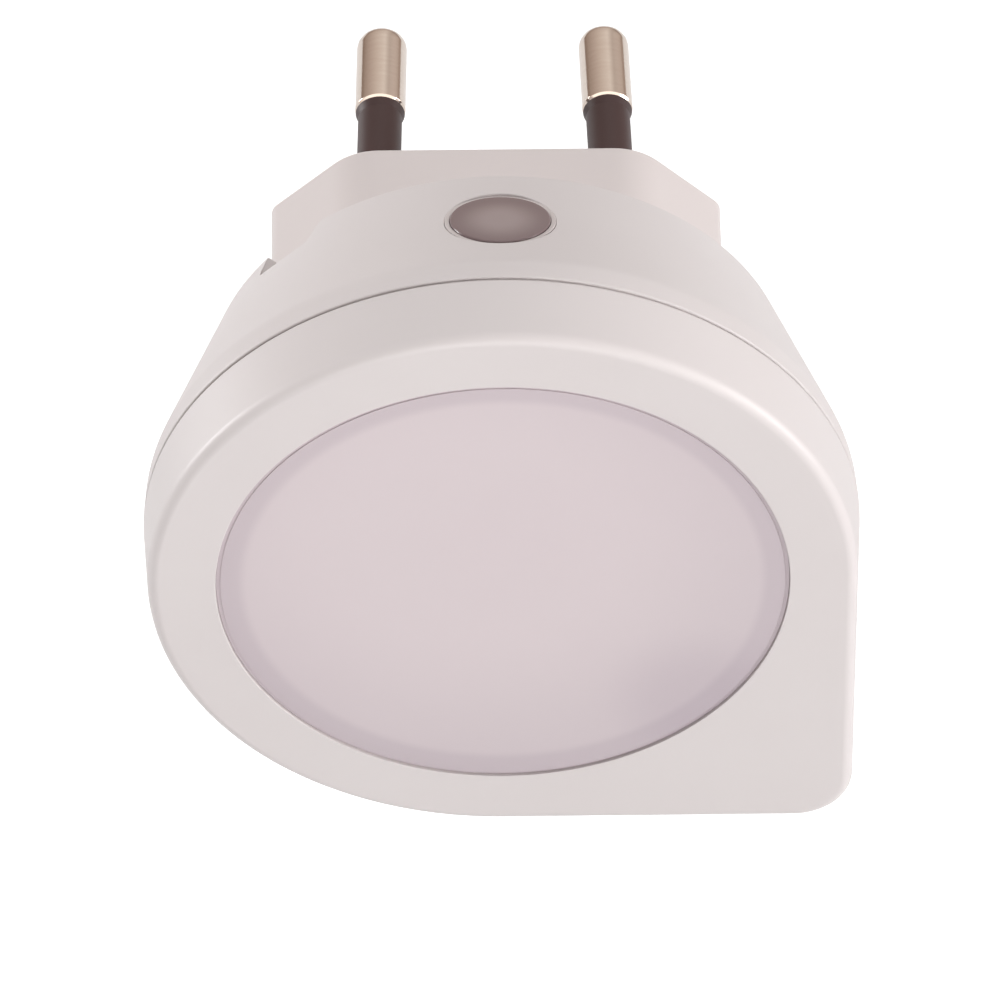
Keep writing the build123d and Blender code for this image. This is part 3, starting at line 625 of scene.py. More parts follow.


# %% [markdown]
# ## The opal window
# The diffuser is a shallow puck with a flange that traps it behind the frame. Its face is flat,
# and its rim rolls down a little before it drops into the opening, which is why a real one shows
# a darker ring all the way round. That ring is also painted darker into the opal's colour, as
# painted shade.

# %% Diffuser
puck_gap = 0.34
rim_width = 1.7
rim_drop = 0.06
puck_thickness = 1.6
skirt_gap, skirt_drop = 0.02, 0.17
skirt_radius, skirt_depth = opening_radius - skirt_gap, diffuser_face - skirt_drop
gap_edge, plateau_margin = 0.04, 0.3
puck_radius = opening_radius - puck_gap
plateau_radius = puck_radius - rim_width
rim_radius = (rim_width ** 2 + rim_drop ** 2) / (2 * rim_drop)

rim_steps = 10
roll = np.linspace(0, np.arcsin(rim_width / rim_radius), rim_steps)[1:]
rim_rows = [circle_row(plateau_radius + rim_radius * sin(a),
                       diffuser_face - rim_radius * (1 - cos(a))) for a in roll[:-1]]
diffuser_profile = [
    circle_row(0, diffuser_face),
    circle_row(plateau_radius / 2, diffuser_face),
    circle_row(plateau_radius - plateau_margin, diffuser_face),
    circle_row(plateau_radius, diffuser_face),
    *rim_rows,
    circle_row(puck_radius, diffuser_face - rim_drop, gap_edge),
    circle_row(puck_radius, skirt_depth, gap_edge),
    circle_row(skirt_radius, skirt_depth, gap_edge),
    circle_row(skirt_radius, ceiling_depth, inner_edge),
    circle_row(flange_radius, ceiling_depth, inner_edge),
    circle_row(flange_radius, diffuser_back, inner_edge),
    circle_row(plateau_radius, diffuser_back, inner_edge),
    circle_row(plateau_radius, diffuser_face - puck_thickness, inner_edge),
    circle_row(plateau_radius / 2, diffuser_face - puck_thickness),
    circle_row(0, diffuser_face - puck_thickness),
]
diffuser_grid = placed(rings(rounded(diffuser_profile, closed=False)))
make_piece("diffuser_puck", grid_mesh("diffuser_puck", diffuser_grid), "diffuser", "diffuser")
print("face below the frame", round(front_depth - diffuser_face, 3), "mm")


# %% [markdown]
# ## The plug
# The plug is a flat hexagon with rounded ends, and the round plate at its back closes the housing.
# Both are one hollow moulding. Its skin runs from the middle of the engagement face over a soft
# edge, along the sides, out over the plate and back into the hollow. Every row of the grid is the
# same outline moved in by some distance, so its corners are worked out once, for any inset.

# %% Plug outline
plug_half, plug_rise = 17.65, 6.85
tip_rounding, shoulder_rounding = 1.2, 5.0
corner_steps = 9
run_shares = np.concatenate([[0.012], np.linspace(0.08, 0.92, 13), [0.988]])


def plug_outline(inset=0.0):
    """Outline of the plug moved in by an inset.

    A corner whose two sides turn by s has its arc's centre (inset + r) / cos(s / 2) inside the
    sharp corner, where r is the rounding left after the inset. The straight runs between the
    arcs are divided by fixed shares, so that every inset has the same number of points.
    """
    tip = plug_half + tip_rounding * (2 ** 0.5 - 1)
    flat = tip - plug_rise
    sharp = np.array([(tip, 0), (flat, plug_rise), (-flat, plug_rise),
                      (-tip, 0), (-flat, -plug_rise), (flat, -plug_rise)])
    start = np.radians([-45, 45, 90, 135, 225, 270])
    turn = np.radians([90, 45, 45] * 2)
    rounding = np.array([tip_rounding, shoulder_rounding, shoulder_rounding] * 2)
    radius = np.maximum(rounding - inset, 0)
    middle = start + turn / 2
    outward = np.stack([np.cos(middle), np.sin(middle)], axis=-1)
    centre = sharp - outward * ((inset + radius) / np.cos(turn / 2))[:, None]
    angle = start[:, None] + turn[:, None] * np.linspace(0, 1, corner_steps)
    spoke = np.stack([np.cos(angle), np.sin(angle)], axis=-1)
    arcs = centre[:, None] + radius[:, None, None] * spoke
    leave, arrive = arcs[:, -1:], np.roll(arcs, -1, axis=0)[:, :1]
    runs = leave + run_shares[:, None] * (arrive - leave)
    return np.concatenate([arcs, runs], axis=1).reshape(-1, 2)


print("plug outline", 2 * plug_half, "x", 2 * plug_rise, "mm, points", len(plug_outline()))


# %% Plug body
nose_edge, plug_root, plug_wall, nose_depth = 0.4, 0.25, 2.0, 8.0
plate_edge = 0.15
relief_radius, relief_depth = 2.05, 0.4
clip_outer, clip_inner, clip_hook, clip_root = 18.45, 17.35, 0.7, 20.0
clip_catch, clip_middle, clip_end, clip_steps = 23.05, 23.5, 24.3, 7
clip_angles, clip_arc = (52, 128, 232, 308), 18
clip_shape = np.array([(clip_inner, clip_root), (clip_outer, clip_root),
                       (clip_outer, clip_catch), (clip_outer + clip_hook, clip_catch),
                       (clip_outer, clip_end), (clip_inner, clip_end)])


def outline_row(inset, depth):
    """One row of the plug's grid: the outline moved in, at a depth."""
    return np.column_stack([plug_outline(inset), np.full(len(plug_outline()), depth)])


def plate_row(radius, depth):
    """One row on the round plate, with the outline's own angles."""
    x, y = plug_outline().T
    turn = np.arctan2(y, x)
    return np.column_stack([radius * np.cos(turn), radius * np.sin(turn), np.full(len(x), depth)])


def plug_skin():
    """Grid of the plug: nose with a quarter-round edge, sides with a small root, plate, hollow."""
    quarter = np.linspace(0, pi / 2, arc_steps + 1)
    nose = [outline_row(nose_edge * (1 - sin(a)), nose_edge * (1 - cos(a))) for a in quarter]
    root = [outline_row(-plug_root * (1 - cos(a)), plug_reach - plug_root * (1 - sin(a)))
            for a in quarter]
    rim = [plate_row(plug_plate_radius - plate_edge * (1 - sin(a)),
                     plug_reach + plate_edge * (1 - cos(a))) for a in quarter]
    return np.stack([
        plate_row(0, 0), outline_row(nose_edge + hold_length, 0), *nose,
        outline_row(0, nose_edge + hold_length), outline_row(0, plug_reach / 2),
        outline_row(0, plug_reach - plug_root - hold_length), *root,
        outline_row(-plug_root - hold_length, plug_reach),
        plate_row(plug_plate_radius - plate_edge - hold_length, plug_reach), *rim,
        plate_row(plug_plate_radius, plate_depth), outline_row(plug_wall, plate_depth),
        outline_row(plug_wall, nose_depth), plate_row(0, nose_depth)])


def clip_grid(angle):
    """One snap hook: its shape of radius and depth swept through a short arc, with fanned ends."""
    turn = radians(angle) + radians(clip_arc) * np.linspace(-0.5, 0.5, clip_steps)[:, None]
    radius, depth = (np.tile(values, (clip_steps, 1)) for values in clip_shape.T)
    swept = np.stack([radius * np.cos(turn), radius * np.sin(turn), depth], axis=-1)
    middle = (clip_inner + clip_outer) / 2
    ends = [np.tile((middle * cos(t), middle * sin(t), clip_middle), (1, len(clip_shape), 1))
            for t in turn[[0, -1], 0]]
    return placed(np.concatenate([ends[0], swept, ends[1]]))


print("plug plate", round(plug_plate_radius, 2), "mm radius, clips", len(clip_angles))


# %% [markdown]
# ## The pins
# Each pin is turned from one bar: a domed bare end, a thin neck that the sleeve covers, a collar
# that holds it in the plug, and a tail for the lead. The two pins lean towards each other by a
# degree and a half, which is what makes them grip. A turned piece is a profile carried round its
# own axis, so it is made on the leaning axes of its pin.

# %% Pins and sleeves
pin_half_spacing = 9.3
pin_lean = atan2(0.5, 19.0)
pin_radius, pin_length, bare_length = 2.0, 19.0, 8.3
core_radius, pin_collar_radius, tail_radius = 1.3, 2.6, 1.1
root_depth, collar_thickness, tail_length = 5.0, 1.2, 4.8
dome_radius, rim_edge, soft_edge, bead_round = 1.3, 0.2, 0.2, 0.1
sleeve_radius, sleeve_root = 1.75, 3.0
bead_radius, bead_length, bead_edge = 1.97, 0.75, 0.12  # where the sleeve swells to the pin

shoulder = pin_length - bare_length
pin_profile = [
    circle_row(0, -root_depth - collar_thickness - tail_length),
    circle_row(tail_radius, -root_depth - collar_thickness - tail_length, soft_edge),
    circle_row(tail_radius, -root_depth - collar_thickness, inner_edge),
    circle_row(pin_collar_radius, -root_depth - collar_thickness, inner_edge),
    circle_row(pin_collar_radius, -root_depth, inner_edge),
    circle_row(core_radius, -root_depth, inner_edge),
    circle_row(core_radius, shoulder, inner_edge),
    circle_row(pin_radius - rim_edge, shoulder, inner_edge),
    circle_row(pin_radius, shoulder + rim_edge, inner_edge),
    circle_row(pin_radius, pin_length, dome_radius),
    circle_row(0, pin_length),
]
sleeve_profile = [
    circle_row(core_radius, -sleeve_root, inner_edge),
    circle_row(sleeve_radius, -sleeve_root, inner_edge),
    circle_row(sleeve_radius, shoulder - bead_length, soft_edge),
    circle_row(bead_radius, shoulder - bead_edge, bead_round),
    circle_row(bead_radius - bead_edge, shoulder, inner_edge),
    circle_row(core_radius, shoulder, inner_edge),
]


def pin_axes(side):
    """Local axes of a pin: across, up, and along the pin towards its tip."""
    lean = side * pin_lean
    return np.array([[-cos(lean), -sin(lean), 0], [0, 0, 1], [-sin(lean), cos(lean), 0]])


for side, word in ((-1, "left"), (1, "right")):
    root = (side * pin_half_spacing, 0, 0)
    for kind, profile, closed, node, slot in (
            ("pin_turned_", pin_profile, False, "pin_", "pin_metal"),
            ("pin_insulation_", sleeve_profile, True, "pin_sleeve_", "pin_sleeve")):
        grid = placed(rings(rounded(profile, closed), turned_columns), root, pin_axes(side))
        make_piece(kind + word, grid_mesh(kind + word, grid), node + word, slot)


# %% [markdown]
# ## The plug in one piece
# The bores for the pins have steps: a relief at the face, the sleeve's seat, the thin neck and
# the collar. They could be rows of the plug's own grid, but those follow the flat outline and
# not the pins. So each bore is a turned shape on its pin's leaning axes, made from the pin's own
# sizes, and it is cut out of the moulding after the clips are joined to it.

# %% Plug body with its two bores
cut_past = 1  # mm that the cutting shape stands out at both ends
bore_profile = [circle_row(0, cut_past), circle_row(relief_radius, cut_past),
                circle_row(relief_radius, -relief_depth), circle_row(sleeve_radius, -relief_depth),
                circle_row(sleeve_radius, -sleeve_root), circle_row(core_radius, -sleeve_root),
                circle_row(core_radius, -root_depth), circle_row(pin_collar_radius, -root_depth),
                circle_row(pin_collar_radius, -root_depth - collar_thickness),
                circle_row(tail_radius, -root_depth - collar_thickness),
                circle_row(tail_radius, -nose_depth - cut_past),
                circle_row(0, -nose_depth - cut_past)]
bores = [placed(rings(np.array(bore_profile)[:, :3], turned_columns),
                (side * pin_half_spacing, 0, 0), pin_axes(side)) for side in (-1, 1)]
plug_mesh = carve(grid_mesh("plug_shell", placed(plug_skin())),
                  ("UNION", grid_mesh("clips", *[clip_grid(a) for a in clip_angles])),
                  ("DIFFERENCE", grid_mesh("bores", *bores)))
make_piece("plug_shell", plug_mesh, "plug_body", "plug")


# %% [markdown]
# ## The light sensor's window
# A smoked lens sits in a thin ring, square to the slope of the housing. The lens is a shallow
# dome with a soft edge. Both are turned pieces on an axis that leans back with the slope.

# %% Sensor window and bezel
lens_radius, lens_recess, lens_dome, lens_thickness = 3.85, 0.08, 0.2, 1.5
bezel_radius, bezel_inset, bezel_length, bezel_bore = 4.23, 0.22, 5.6, 3.05
bezel_flange, flange_depth, flange_thickness = 5.2, 2.9, 1.0
lens_edge, bezel_edge, seat_gap = 0.15, 0.06, 0.03

dome_steps = 12
dome_share = np.linspace(0, 1, dome_steps)
dome_rows = [circle_row(lens_radius * s, -lens_recess + lens_dome * (1 - s * s))
             for s in dome_share]
lens_profile = [
    *dome_rows[:-1],
    (*dome_rows[-1][:3], lens_edge),
    circle_row(lens_radius, -lens_recess - lens_thickness, inner_edge),
    circle_row(0, -lens_recess - lens_thickness),
]
seat_radius = lens_radius + seat_gap
seat_depth = -lens_recess - lens_thickness
bezel_profile = [
    circle_row(seat_radius, -bezel_inset, inner_edge),
    circle_row(bezel_radius, -bezel_inset, bezel_edge),
    circle_row(bezel_radius, -flange_depth, inner_edge),
    circle_row(bezel_flange, -flange_depth, inner_edge),
    circle_row(bezel_flange, -flange_depth - flange_thickness, inner_edge),
    circle_row(bezel_radius, -flange_depth - flange_thickness, inner_edge),
    circle_row(bezel_radius, -bezel_inset - bezel_length, inner_edge),
    circle_row(bezel_bore, -bezel_inset - bezel_length, inner_edge),
    circle_row(bezel_bore, seat_depth, inner_edge),
    circle_row(seat_radius, seat_depth, inner_edge),
]
for name, profile, closed, node in (("sensor_lens", lens_profile, False, "sensor_window"),
                                    ("sensor_ring", bezel_profile, True, "sensor_bezel")):
    grid = placed(rings(rounded(profile, closed), turned_columns), window_place, window_axes)
    make_piece(name, grid_mesh(name, grid), node, node)


# %% [markdown]
# ## Colours
# A colour is written the way a paint chip is read, from 0 to 255, and turned into the linear
# light that Blender mixes.

# %% Colour helper
def chip(red, green, blue):
    """Linear colour of an sRGB chip: ((c + 0.055) / 1.055) ^ 2.4 above 0.04, c / 12.92 below."""
    c = np.array([red, green, blue]) / 255
    linear = np.where(c <= 0.04045, c / 12.92, ((c + 0.055) / 1.055) ** 2.4)
    return (*linear, 1.0)


print("chip 128 in linear light", round(chip(128, 128, 128)[0], 3))


# %% [markdown]
# ## A moulded skin
# Plastic takes the texture of its mould: a very fine grain that breaks up the gloss, slow changes
# of tone where the melt cooled unevenly, and a slightly uneven sheen. One node group makes all
# three, and every plastic uses it with its own values. A painted picture could do the same, but
# it would need a flat layout of each piece and would blur when seen from close by.

# %% Helpers for node trees
def add_node(tree, kind, x, y, values=None, **settings):
    """A node at a place in the tree, with some of its settings and then its socket values."""
    node = tree.nodes.new(kind)
    node.location = (x, y)
    for name, value in settings.items():
        setattr(node, name, value)
    for socket, value in (values or {}).items():
        node.inputs[socket].default_value = value
    return node


def wire(tree, *runs):
    """Links in a tree. A run holds a node and its output, then the next node and its input."""
    for source, output, target, socket in runs:
        tree.links.new(source.outputs[output], target.inputs[socket])


def new_group(name, inputs, outputs):
    """Node group with its sockets, and its two end nodes. An input holds a name, a kind and the
    value that it starts from, and an output holds a name and a kind."""
    group = bpy.data.node_groups.new(name, "ShaderNodeTree")
    for socket, kind, value in inputs:
        made = group.interface.new_socket(name=socket, in_out="INPUT",
                                          socket_type="NodeSocket" + kind)
        made.default_value = value
    for socket, kind in outputs:
        group.interface.new_socket(name=socket, in_out="OUTPUT",
                                   socket_type="NodeSocket" + kind)
    inward = add_node(group, "NodeGroupInput", -900, 0)
    outward = add_node(group, "NodeGroupOutput", 500, 0)
    return group, inward, outward


# %% Node group for moulded plastic
def skin_group():
    """Group with a mottled colour, an uneven roughness and the height of a fine grain."""
    group, inward, outward = new_group(
        "moulded_skin",
        [("Base", "Color", (0.8, 0.8, 0.8, 1)), ("Shade", "Color", (0.7, 0.7, 0.7, 1)),
         ("Mottle Scale", "Float", 60), ("Grain Scale", "Float", 4000),
         ("Roughness", "Float", 0.4), ("Unevenness", "Float", 0.05)],
        [("Color", "Color"), ("Roughness", "Float"), ("Height", "Float")])
    place = add_node(group, "ShaderNodeTexCoord", -900, -300)
    mottle = add_node(group, "ShaderNodeTexNoise", -600, 200, {"Detail": 3})
    grain = add_node(group, "ShaderNodeTexNoise", -600, -200, {"Detail": 2})
    mix = add_node(group, "ShaderNodeMix", 0, 200, data_type="RGBA")
    sheen = add_node(group, "ShaderNodeMath", -200, -50, {1: 0.5}, operation="SUBTRACT")
    spread = add_node(group, "ShaderNodeMath", 0, -50, operation="MULTIPLY_ADD")
    wire(group,
         (place, "Object", mottle, "Vector"), (place, "Object", grain, "Vector"),
         (inward, "Mottle Scale", mottle, "Scale"), (inward, "Grain Scale", grain, "Scale"),
         (mottle, "Fac", mix, "Factor"), (inward, "Base", mix, "A"), (inward, "Shade", mix, "B"),
         (mottle, "Fac", sheen, 0), (sheen, 0, spread, 0),
         (inward, "Unevenness", spread, 1), (inward, "Roughness", spread, 2),
         (mix, "Result", outward, "Color"), (spread, 0, outward, "Roughness"),
         (grain, "Fac", outward, "Height"))
    return group


moulded_skin = skin_group()
print("moulded skin nodes", len(moulded_skin.nodes))


# %% [markdown]
# ## A painted round shade
# The opal window is not evenly bright: its rim is darker, and so is a patch at its lower right.
# The smoked lens darkens towards its edge in the same way. These are painted shade in the colour.
# Each is a soft circle round some axis, so a second group turns the distance from an axis into a
# mask.

# %% Node group for a painted round shade
def shade_group():
    """Group with a mask that grows with the distance from an axis: the length of the cross
    product of (place - centre) and the axis, taken from 0 at Start to 1 at End by a smooth step."""
    group, inward, outward = new_group(
        "painted_round_shade",
        [("Centre", "Vector", (0, 0, 0)), ("Axis", "Vector", (0, 1, 0)),
         ("Start", "Float", 0.01), ("End", "Float", 0.02)],
        [("Mask", "Float")])
    place = add_node(group, "ShaderNodeTexCoord", -700, 200)
    arm = add_node(group, "ShaderNodeVectorMath", -450, 100, operation="SUBTRACT")
    cross = add_node(group, "ShaderNodeVectorMath", -250, 100, operation="CROSS_PRODUCT")
    length = add_node(group, "ShaderNodeVectorMath", -50, 100, operation="LENGTH")
    step = add_node(group, "ShaderNodeMapRange", 150, 0, interpolation_type="SMOOTHSTEP")
    wire(group,
         (place, "Object", arm, 0), (inward, "Centre", arm, 1),
         (arm, 0, cross, 0), (inward, "Axis", cross, 1), (cross, 0, length, 0),
         (length, "Value", step, "Value"), (inward, "Start", step, "From Min"),
         (inward, "End", step, "From Max"), (step, "Result", outward, "Mask"))
    return group


painted_round_shade = shade_group()
print("round shade nodes", len(painted_round_shade.nodes))


def with_painted_shade(tree, colour, painted_shades):
    """Colour darkened by painted round shades. A painted shade holds a centre in millimetres, an
    axis, the two distances in millimetres between which it sets in, and the tint that it multiplies
    by."""
    for centre, axis, start, end, tint in painted_shades:
        shade = add_node(tree, "ShaderNodeGroup", -500, 500,
                         {"Centre": np.array(centre) * mm, "Axis": axis,
                          "Start": start * mm, "End": end * mm}, node_tree=painted_round_shade)
        # painted shade: the colour is multiplied by the tint where the mask is on
        mix = add_node(tree, "ShaderNodeMix", -250, 400, {"B": (*tint, 1)},
                       data_type="RGBA", blend_type="MULTIPLY")
        wire(tree, (shade, "Mask", mix, "Factor"))
        tree.links.new(colour, mix.inputs["A"])
        colour = mix.outputs["Result"]
    return colour


# %% [markdown]
# ## The finishes
# The shells are a warm white. The opal window is a shade pinker and more matt. The parts inside
# are dressed as well, because a reader may take the housing off. A helper builds one plastic,
# because all of them share the same nodes and differ only in their values.

# %% A plastic
grain_scale, unevenness = 4000, 0.06
relief_distance = 0.0001  # metres between the low and the high places of a fine relief


def new_material(name):
    """Material with nodes, its tree and its shader."""
    material = bpy.data.materials.new(name)
    material.use_nodes = True
    return material, material.node_tree, material.node_tree.nodes["Principled BSDF"]


def moulded(name, base, shade, roughness, mottle=60, bump=0.02, painted_shades=()):
    """A plastic with the moulded skin between two chips, darkened by its painted round shades."""
    material, tree, shader = new_material(name)
    skin = add_node(tree, "ShaderNodeGroup", -500, 200,
                    {"Base": chip(*base), "Shade": chip(*shade), "Mottle Scale": mottle,
                     "Grain Scale": grain_scale, "Roughness": roughness,
                     "Unevenness": unevenness}, node_tree=moulded_skin)
    relief = add_node(tree, "ShaderNodeBump", -250, -200,
                      {"Strength": bump, "Distance": relief_distance})
    tree.links.new(with_painted_shade(tree, skin.outputs["Color"], painted_shades), shader.inputs["Base Color"])
    wire(tree, (skin, "Roughness", shader, "Roughness"), (skin, "Height", relief, "Height"),
         (relief, "Normal", shader, "Normal"))
    return material


# %% Plastics
facing_room = (0, 1, 0)
lens_centre = window_place + 0.4 * np.array([0, -1, 0])  # a little towards the room
# painted shade on the opal window, multiplied into its colour
opal_painted_shades = [
    # painted shade: darker away from the middle, where less light comes back
    ((-3, 0, 5), facing_room, 10, 27, (0.90, 0.90, 0.91)),
    # painted shadow: a darker patch at the lower right
    ((15, 0, -13), facing_room, 9, 2, (0.91, 0.90, 0.92)),
    # painted shade: a darker ring over the rim and the gap beside it
    ((0, 0, 0.3), facing_room, 19.5, 20.5, (0.89, 0.88, 0.90)),
]
# painted shade: the smoked lens darker towards its edge
lens_painted_shades = [(lens_centre, window_axes[2], 0.8, 3.7, (0.62, 0.56, 0.58))]
finish = {
    "housing": moulded("white_shell", (215, 208, 207), (209, 201, 200), 0.42),
    "plug": moulded("white_plug", (217, 208, 206), (212, 202, 200), 0.42),
    "diffuser": moulded("opal", (209, 197, 199), (205, 192, 195), 0.5, mottle=40,
                        painted_shades=opal_painted_shades),
    "reflector": moulded("bright_white", (244, 244, 243), (236, 236, 235), 0.3),
    "led_board": moulded("white_mask", (238, 238, 234), (228, 229, 224), 0.45, mottle=300),
    "led": moulded("phosphor", (246, 222, 96), (240, 210, 80), 0.35, mottle=500),
    "driver_board": moulded("paper_laminate", (206, 180, 128), (188, 160, 108), 0.6,
                            mottle=400, bump=0.1),
    "film_capacitor": moulded("capacitor_case", (206, 168, 74), (192, 154, 62), 0.45),
    "capacitor_sleeve": moulded("shrink_sleeve", (36, 40, 58), (26, 30, 46), 0.3),
    "black_epoxy": moulded("epoxy", (44, 42, 42), (34, 33, 33), 0.55, bump=0.08),
    "resistor_lacquer": moulded("lacquer", (146, 178, 190), (132, 166, 180), 0.3),
    "lead_insulation": moulded("soft_insulation", (222, 222, 218), (212, 212, 206), 0.5),
    "sensor_window": moulded("smoked_lens", (160, 145, 143), (154, 138, 137), 0.2,
                             painted_shades=lens_painted_shades),
    "sensor_bezel": moulded("ring_plastic", (208, 199, 197), (198, 188, 186), 0.35),
    "photocell": moulded("coated_ceramic", (200, 142, 88), (184, 124, 72), 0.5,
                         mottle=700, bump=0.1),
    "pin_sleeve": moulded("sleeve_plastic", (64, 46, 45), (57, 39, 39), 0.5),
}
print("plastics", len(finish))


# %% [markdown]
# ## Metals
# The pins are nickel over brass, which leaves them slightly warm. Drawing and turning leave very
# fine lines that run round the bar, so the noise is stretched across it.

# %% Metals
polish_low, polish_high = 0.7, 1.4  # the roughness varies between these shares of its value


def metal(name, colour, shade, roughness, stretch, bump):
    """A metal with fine drawn lines: noise on Object coordinates that are scaled by stretch."""
    material, tree, shader = new_material(name)
    shader.inputs["Metallic"].default_value = 1
    place = add_node(tree, "ShaderNodeTexCoord", -1100, 0)
    turn = add_node(tree, "ShaderNodeMapping", -900, 0, {"Scale": stretch})
    lines = add_node(tree, "ShaderNodeTexNoise", -700, 0, {"Scale": 1, "Detail": 4})
    tone = add_node(tree, "ShaderNodeMix", -400, 200,
                    {"A": chip(*colour), "B": chip(*shade)}, data_type="RGBA")
    gloss = add_node(tree, "ShaderNodeMapRange", -400, 0,
                     {"To Min": roughness * polish_low, "To Max": roughness * polish_high})
    relief = add_node(tree, "ShaderNodeBump", -400, -300,
                      {"Strength": bump, "Distance": relief_distance})
    wire(tree,
         (place, "Object", turn, "Vector"), (turn, "Vector", lines, "Vector"),
         (lines, "Fac", tone, "Factor"), (lines, "Fac", gloss, "Value"),
         (lines, "Fac", relief, "Height"), (tone, "Result", shader, "Base Color"),
         (gloss, "Result", shader, "Roughness"), (relief, "Normal", shader, "Normal"))
    return material


finish["pin_metal"] = metal("nickel", (226, 214, 204), (216, 201, 190), 0.13,
                            (600, 4000, 600), 0.03)
finish["contact_brass"] = metal("brass", (226, 196, 120), (212, 180, 104), 0.25,
                                (3000, 400, 3000), 0.05)
finish["screw_steel"] = metal("zinc", (188, 188, 192), (168, 168, 174), 0.3,
                              (2000, 2000, 2000), 0.08)
print("plastics and metals", len(finish))


# %% [markdown]
# ## Dressing the pieces
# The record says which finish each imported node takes. New pieces carry the same slot names.

# %% Put the finishes on
slot_of = {row["node"]: row["material_slot"] for row in frame["record"]["subparts"]}
for name, node in nodes.items():
    node.data.materials.clear()
    node.data.materials.append(finish[slot_of[name]])
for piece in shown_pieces():
    if "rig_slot" in piece:
        piece.data.materials.append(finish[piece["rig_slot"]])
print("finishes", len(finish))


# %% [markdown]
# ## The stage
# The light hangs in the air of a white studio, as in a catalogue. The floor keeps the soft shadow
# and goes to paper white for the camera and for reflections. Its underside is clear, so that the
# light can be looked at from below.

# %% Floor
floor_height, floor_half = -0.09, 0.55
paper_tone, glow_seen, glow_gloss = 0.62, 0.62, 0.35
corners = [(x * floor_half, y * floor_half, floor_height)
           for x, y in ((-1, -1), (1, -1), (1, 1), (-1, 1))]
floor_mesh = bpy.data.meshes.new("floor")
floor_mesh.from_pydata(corners, [], [(0, 1, 2, 3)])
floor = show("floor", floor_mesh)

paper, tree, _ = new_material("paper")
tree.nodes.clear()
out = add_node(tree, "ShaderNodeOutputMaterial", 400, 0)
matt = add_node(tree, "ShaderNodeBsdfDiffuse", -200, 100,
                {"Color": (paper_tone, paper_tone, paper_tone, 1)})
glow = add_node(tree, "ShaderNodeEmission", -200, -100)
path = add_node(tree, "ShaderNodeLightPath", -700, -100)
seen = add_node(tree, "ShaderNodeMath", -500, -100, {1: glow_seen}, operation="MULTIPLY")
lift = add_node(tree, "ShaderNodeMath", -330, -250, {1: glow_gloss}, operation="MULTIPLY_ADD")
both = add_node(tree, "ShaderNodeAddShader", 0, 0)
side = add_node(tree, "ShaderNodeNewGeometry", 0, 300)
clear = add_node(tree, "ShaderNodeBsdfTransparent", 0, -150)
one_sided = add_node(tree, "ShaderNodeMixShader", 200, 0)
wire(tree,
     (path, "Is Camera Ray", seen, 0), (path, "Is Glossy Ray", lift, 0), (seen, 0, lift, 2),
     (lift, 0, glow, "Strength"), (matt, 0, both, 0), (glow, 0, both, 1),
     (side, "Backfacing", one_sided, 0), (both, 0, one_sided, 1), (clear, 0, one_sided, 2),
     (one_sided, 0, out, "Surface"))
floor_mesh.materials.append(paper)
print("floor", 2 * floor_half, "m wide, at", floor_height, "m")


# %% [markdown]
# ## What the gloss sees
# A polished pin is a mirror, and in an empty white room it would have no shape. So reflections
# see a room with darker and lighter stripes, bright in front, while everything else gets an even
# light and the camera sees plain white.

# %% World
ambient_tint, ambient_strength = (1, 0.985, 0.985, 1), 0.2
window_light = (1.7, 1.6, 1.5, 1)

world = bpy.data.worlds.new("studio")
bpy.context.scene.world = world
world.use_nodes = True
sky = world.node_tree
sky.nodes.clear()
sky_out = add_node(sky, "ShaderNodeOutputWorld", 600, 0)
ambient = add_node(sky, "ShaderNodeBackground", 0, 100,
                   {"Color": ambient_tint, "Strength": ambient_strength})
white = add_node(sky, "ShaderNodeBackground", 0, -100, {"Color": (1, 1, 1, 1)})
room = add_node(sky, "ShaderNodeBackground", 0, -300)
way = add_node(sky, "ShaderNodeTexCoord", -1100, -300)
split = add_node(sky, "ShaderNodeSeparateXYZ", -900, -300)
rise = add_node(sky, "ShaderNodeValToRGB", -600, -200)
to_share = add_node(sky, "ShaderNodeMapRange", -750, -500, {"From Min": -1})
aside = add_node(sky, "ShaderNodeValToRGB", -600, -500)
tint = add_node(sky, "ShaderNodeMix", -250, -300, {"Factor": 1},
                data_type="RGBA", blend_type="MULTIPLY")
ahead = add_node(sky, "ShaderNodeMapRange", -450, -750, {"From Min": -0.2, "From Max": -0.6})
window = add_node(sky, "ShaderNodeMix", -50, -400, {"B": window_light}, data_type="RGBA")
sky_path = add_node(sky, "ShaderNodeLightPath", -300, 300)
to_camera = add_node(sky, "ShaderNodeMixShader", 200, 0)
to_gloss = add_node(sky, "ShaderNodeMixShader", 400, 0)


def fill_ramp(node, stops):
    """Colour stops of a ramp, each a position and a chip."""
    stripe = node.color_ramp
    for _ in stops[2:]:
        stripe.elements.new(0.5)
    for element, (position, colour) in zip(stripe.elements, stops):
        element.position = position
        element.color = chip(*colour)


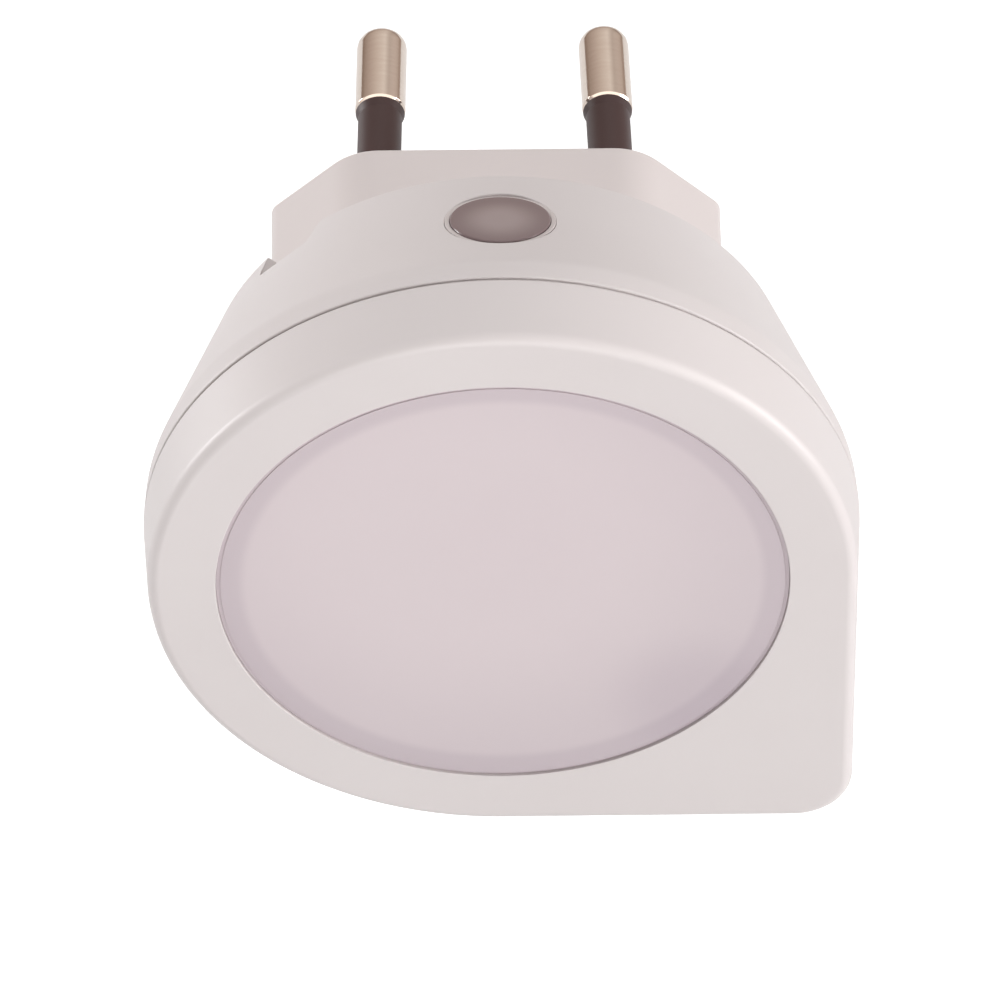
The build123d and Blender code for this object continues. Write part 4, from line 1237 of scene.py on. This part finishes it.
fill_ramp(rise, [(0.0, (186, 172, 162)), (0.12, (216, 206, 198)),
                 (0.4, (232, 224, 218)), (0.7, (242, 236, 230))])
fill_ramp(aside, [(0.13, (206, 196, 190)), (0.35, (232, 225, 220)), (0.6, (255, 253, 251)),
                  (0.72, (222, 217, 213)), (0.83, (242, 237, 234))])
wire(sky,
     (way, "Generated", split, 0), (split, "Z", rise, "Fac"), (split, "X", to_share, "Value"),
     (to_share, "Result", aside, "Fac"), (rise, "Color", tint, "A"), (aside, "Color", tint, "B"),
     (split, "Y", ahead, "Value"), (ahead, "Result", window, "Factor"),
     (tint, "Result", window, "A"), (window, "Result", room, "Color"),
     (sky_path, "Is Camera Ray", to_camera, 0), (ambient, 0, to_camera, 1),
     (white, 0, to_camera, 2), (sky_path, "Is Glossy Ray", to_gloss, 0),
     (to_camera, 0, to_gloss, 1), (room, 0, to_gloss, 2), (to_gloss, 0, sky_out, "Surface"))
print("world nodes", len(sky.nodes))


# %% [markdown]
# ## Light
# A white object on white needs light that comes from its sides, so that each face has its own
# tone: one lamp in front, one on each side, the left one low, and a broad one overhead. The one
# overhead would print a hard white band on the pins, so it is kept out of their reflections.

# %% Lamps
def softbox(name, place, size, power, in_gloss=True):
    """A square area lamp that looks at the origin, with or without a reflection of itself."""
    lamp = bpy.data.lights.new(name, "AREA")
    lamp.shape, lamp.size, lamp.energy = "SQUARE", size, power
    holder = show(name, lamp)
    holder.location = place
    holder.rotation_euler = (-Vector(place)).to_track_quat("-Z", "Y").to_euler()
    holder.visible_camera = False
    holder.visible_glossy = in_gloss
    print(name, power, "W")


softbox("front_box", (0.0, -1.3, 0.0), 1.0, 13.4)
softbox("right_box", (1.2, -0.4, 0.1), 0.9, 15.2)
softbox("left_box", (-1.2, 0.4, -0.01), 0.5, 9.9)
softbox("top_box", (0.0, 0.5, 1.4), 1.2, 15.4, in_gloss=False)


# %% [markdown]
# ## Camera
# A long lens from about a metre away and forty-seven degrees up, straight in front.

# %% Camera
camera_place = Vector((-0.00914, -0.68612, 0.70387))
camera_target = Vector((-0.00008, -0.03000, -0.00150))
lens = bpy.data.cameras.new("camera")
lens.lens, lens.sensor_width = 449.07, 36  # mm
camera = show("camera", lens)
camera.location = camera_place
camera.rotation_euler = (camera_target - camera_place).to_track_quat("-Z", "Y").to_euler()
bpy.context.scene.camera = camera
bpy.context.scene.view_settings.view_transform = "Standard"
print("camera", round((camera_target - camera_place).length, 3), "m away")
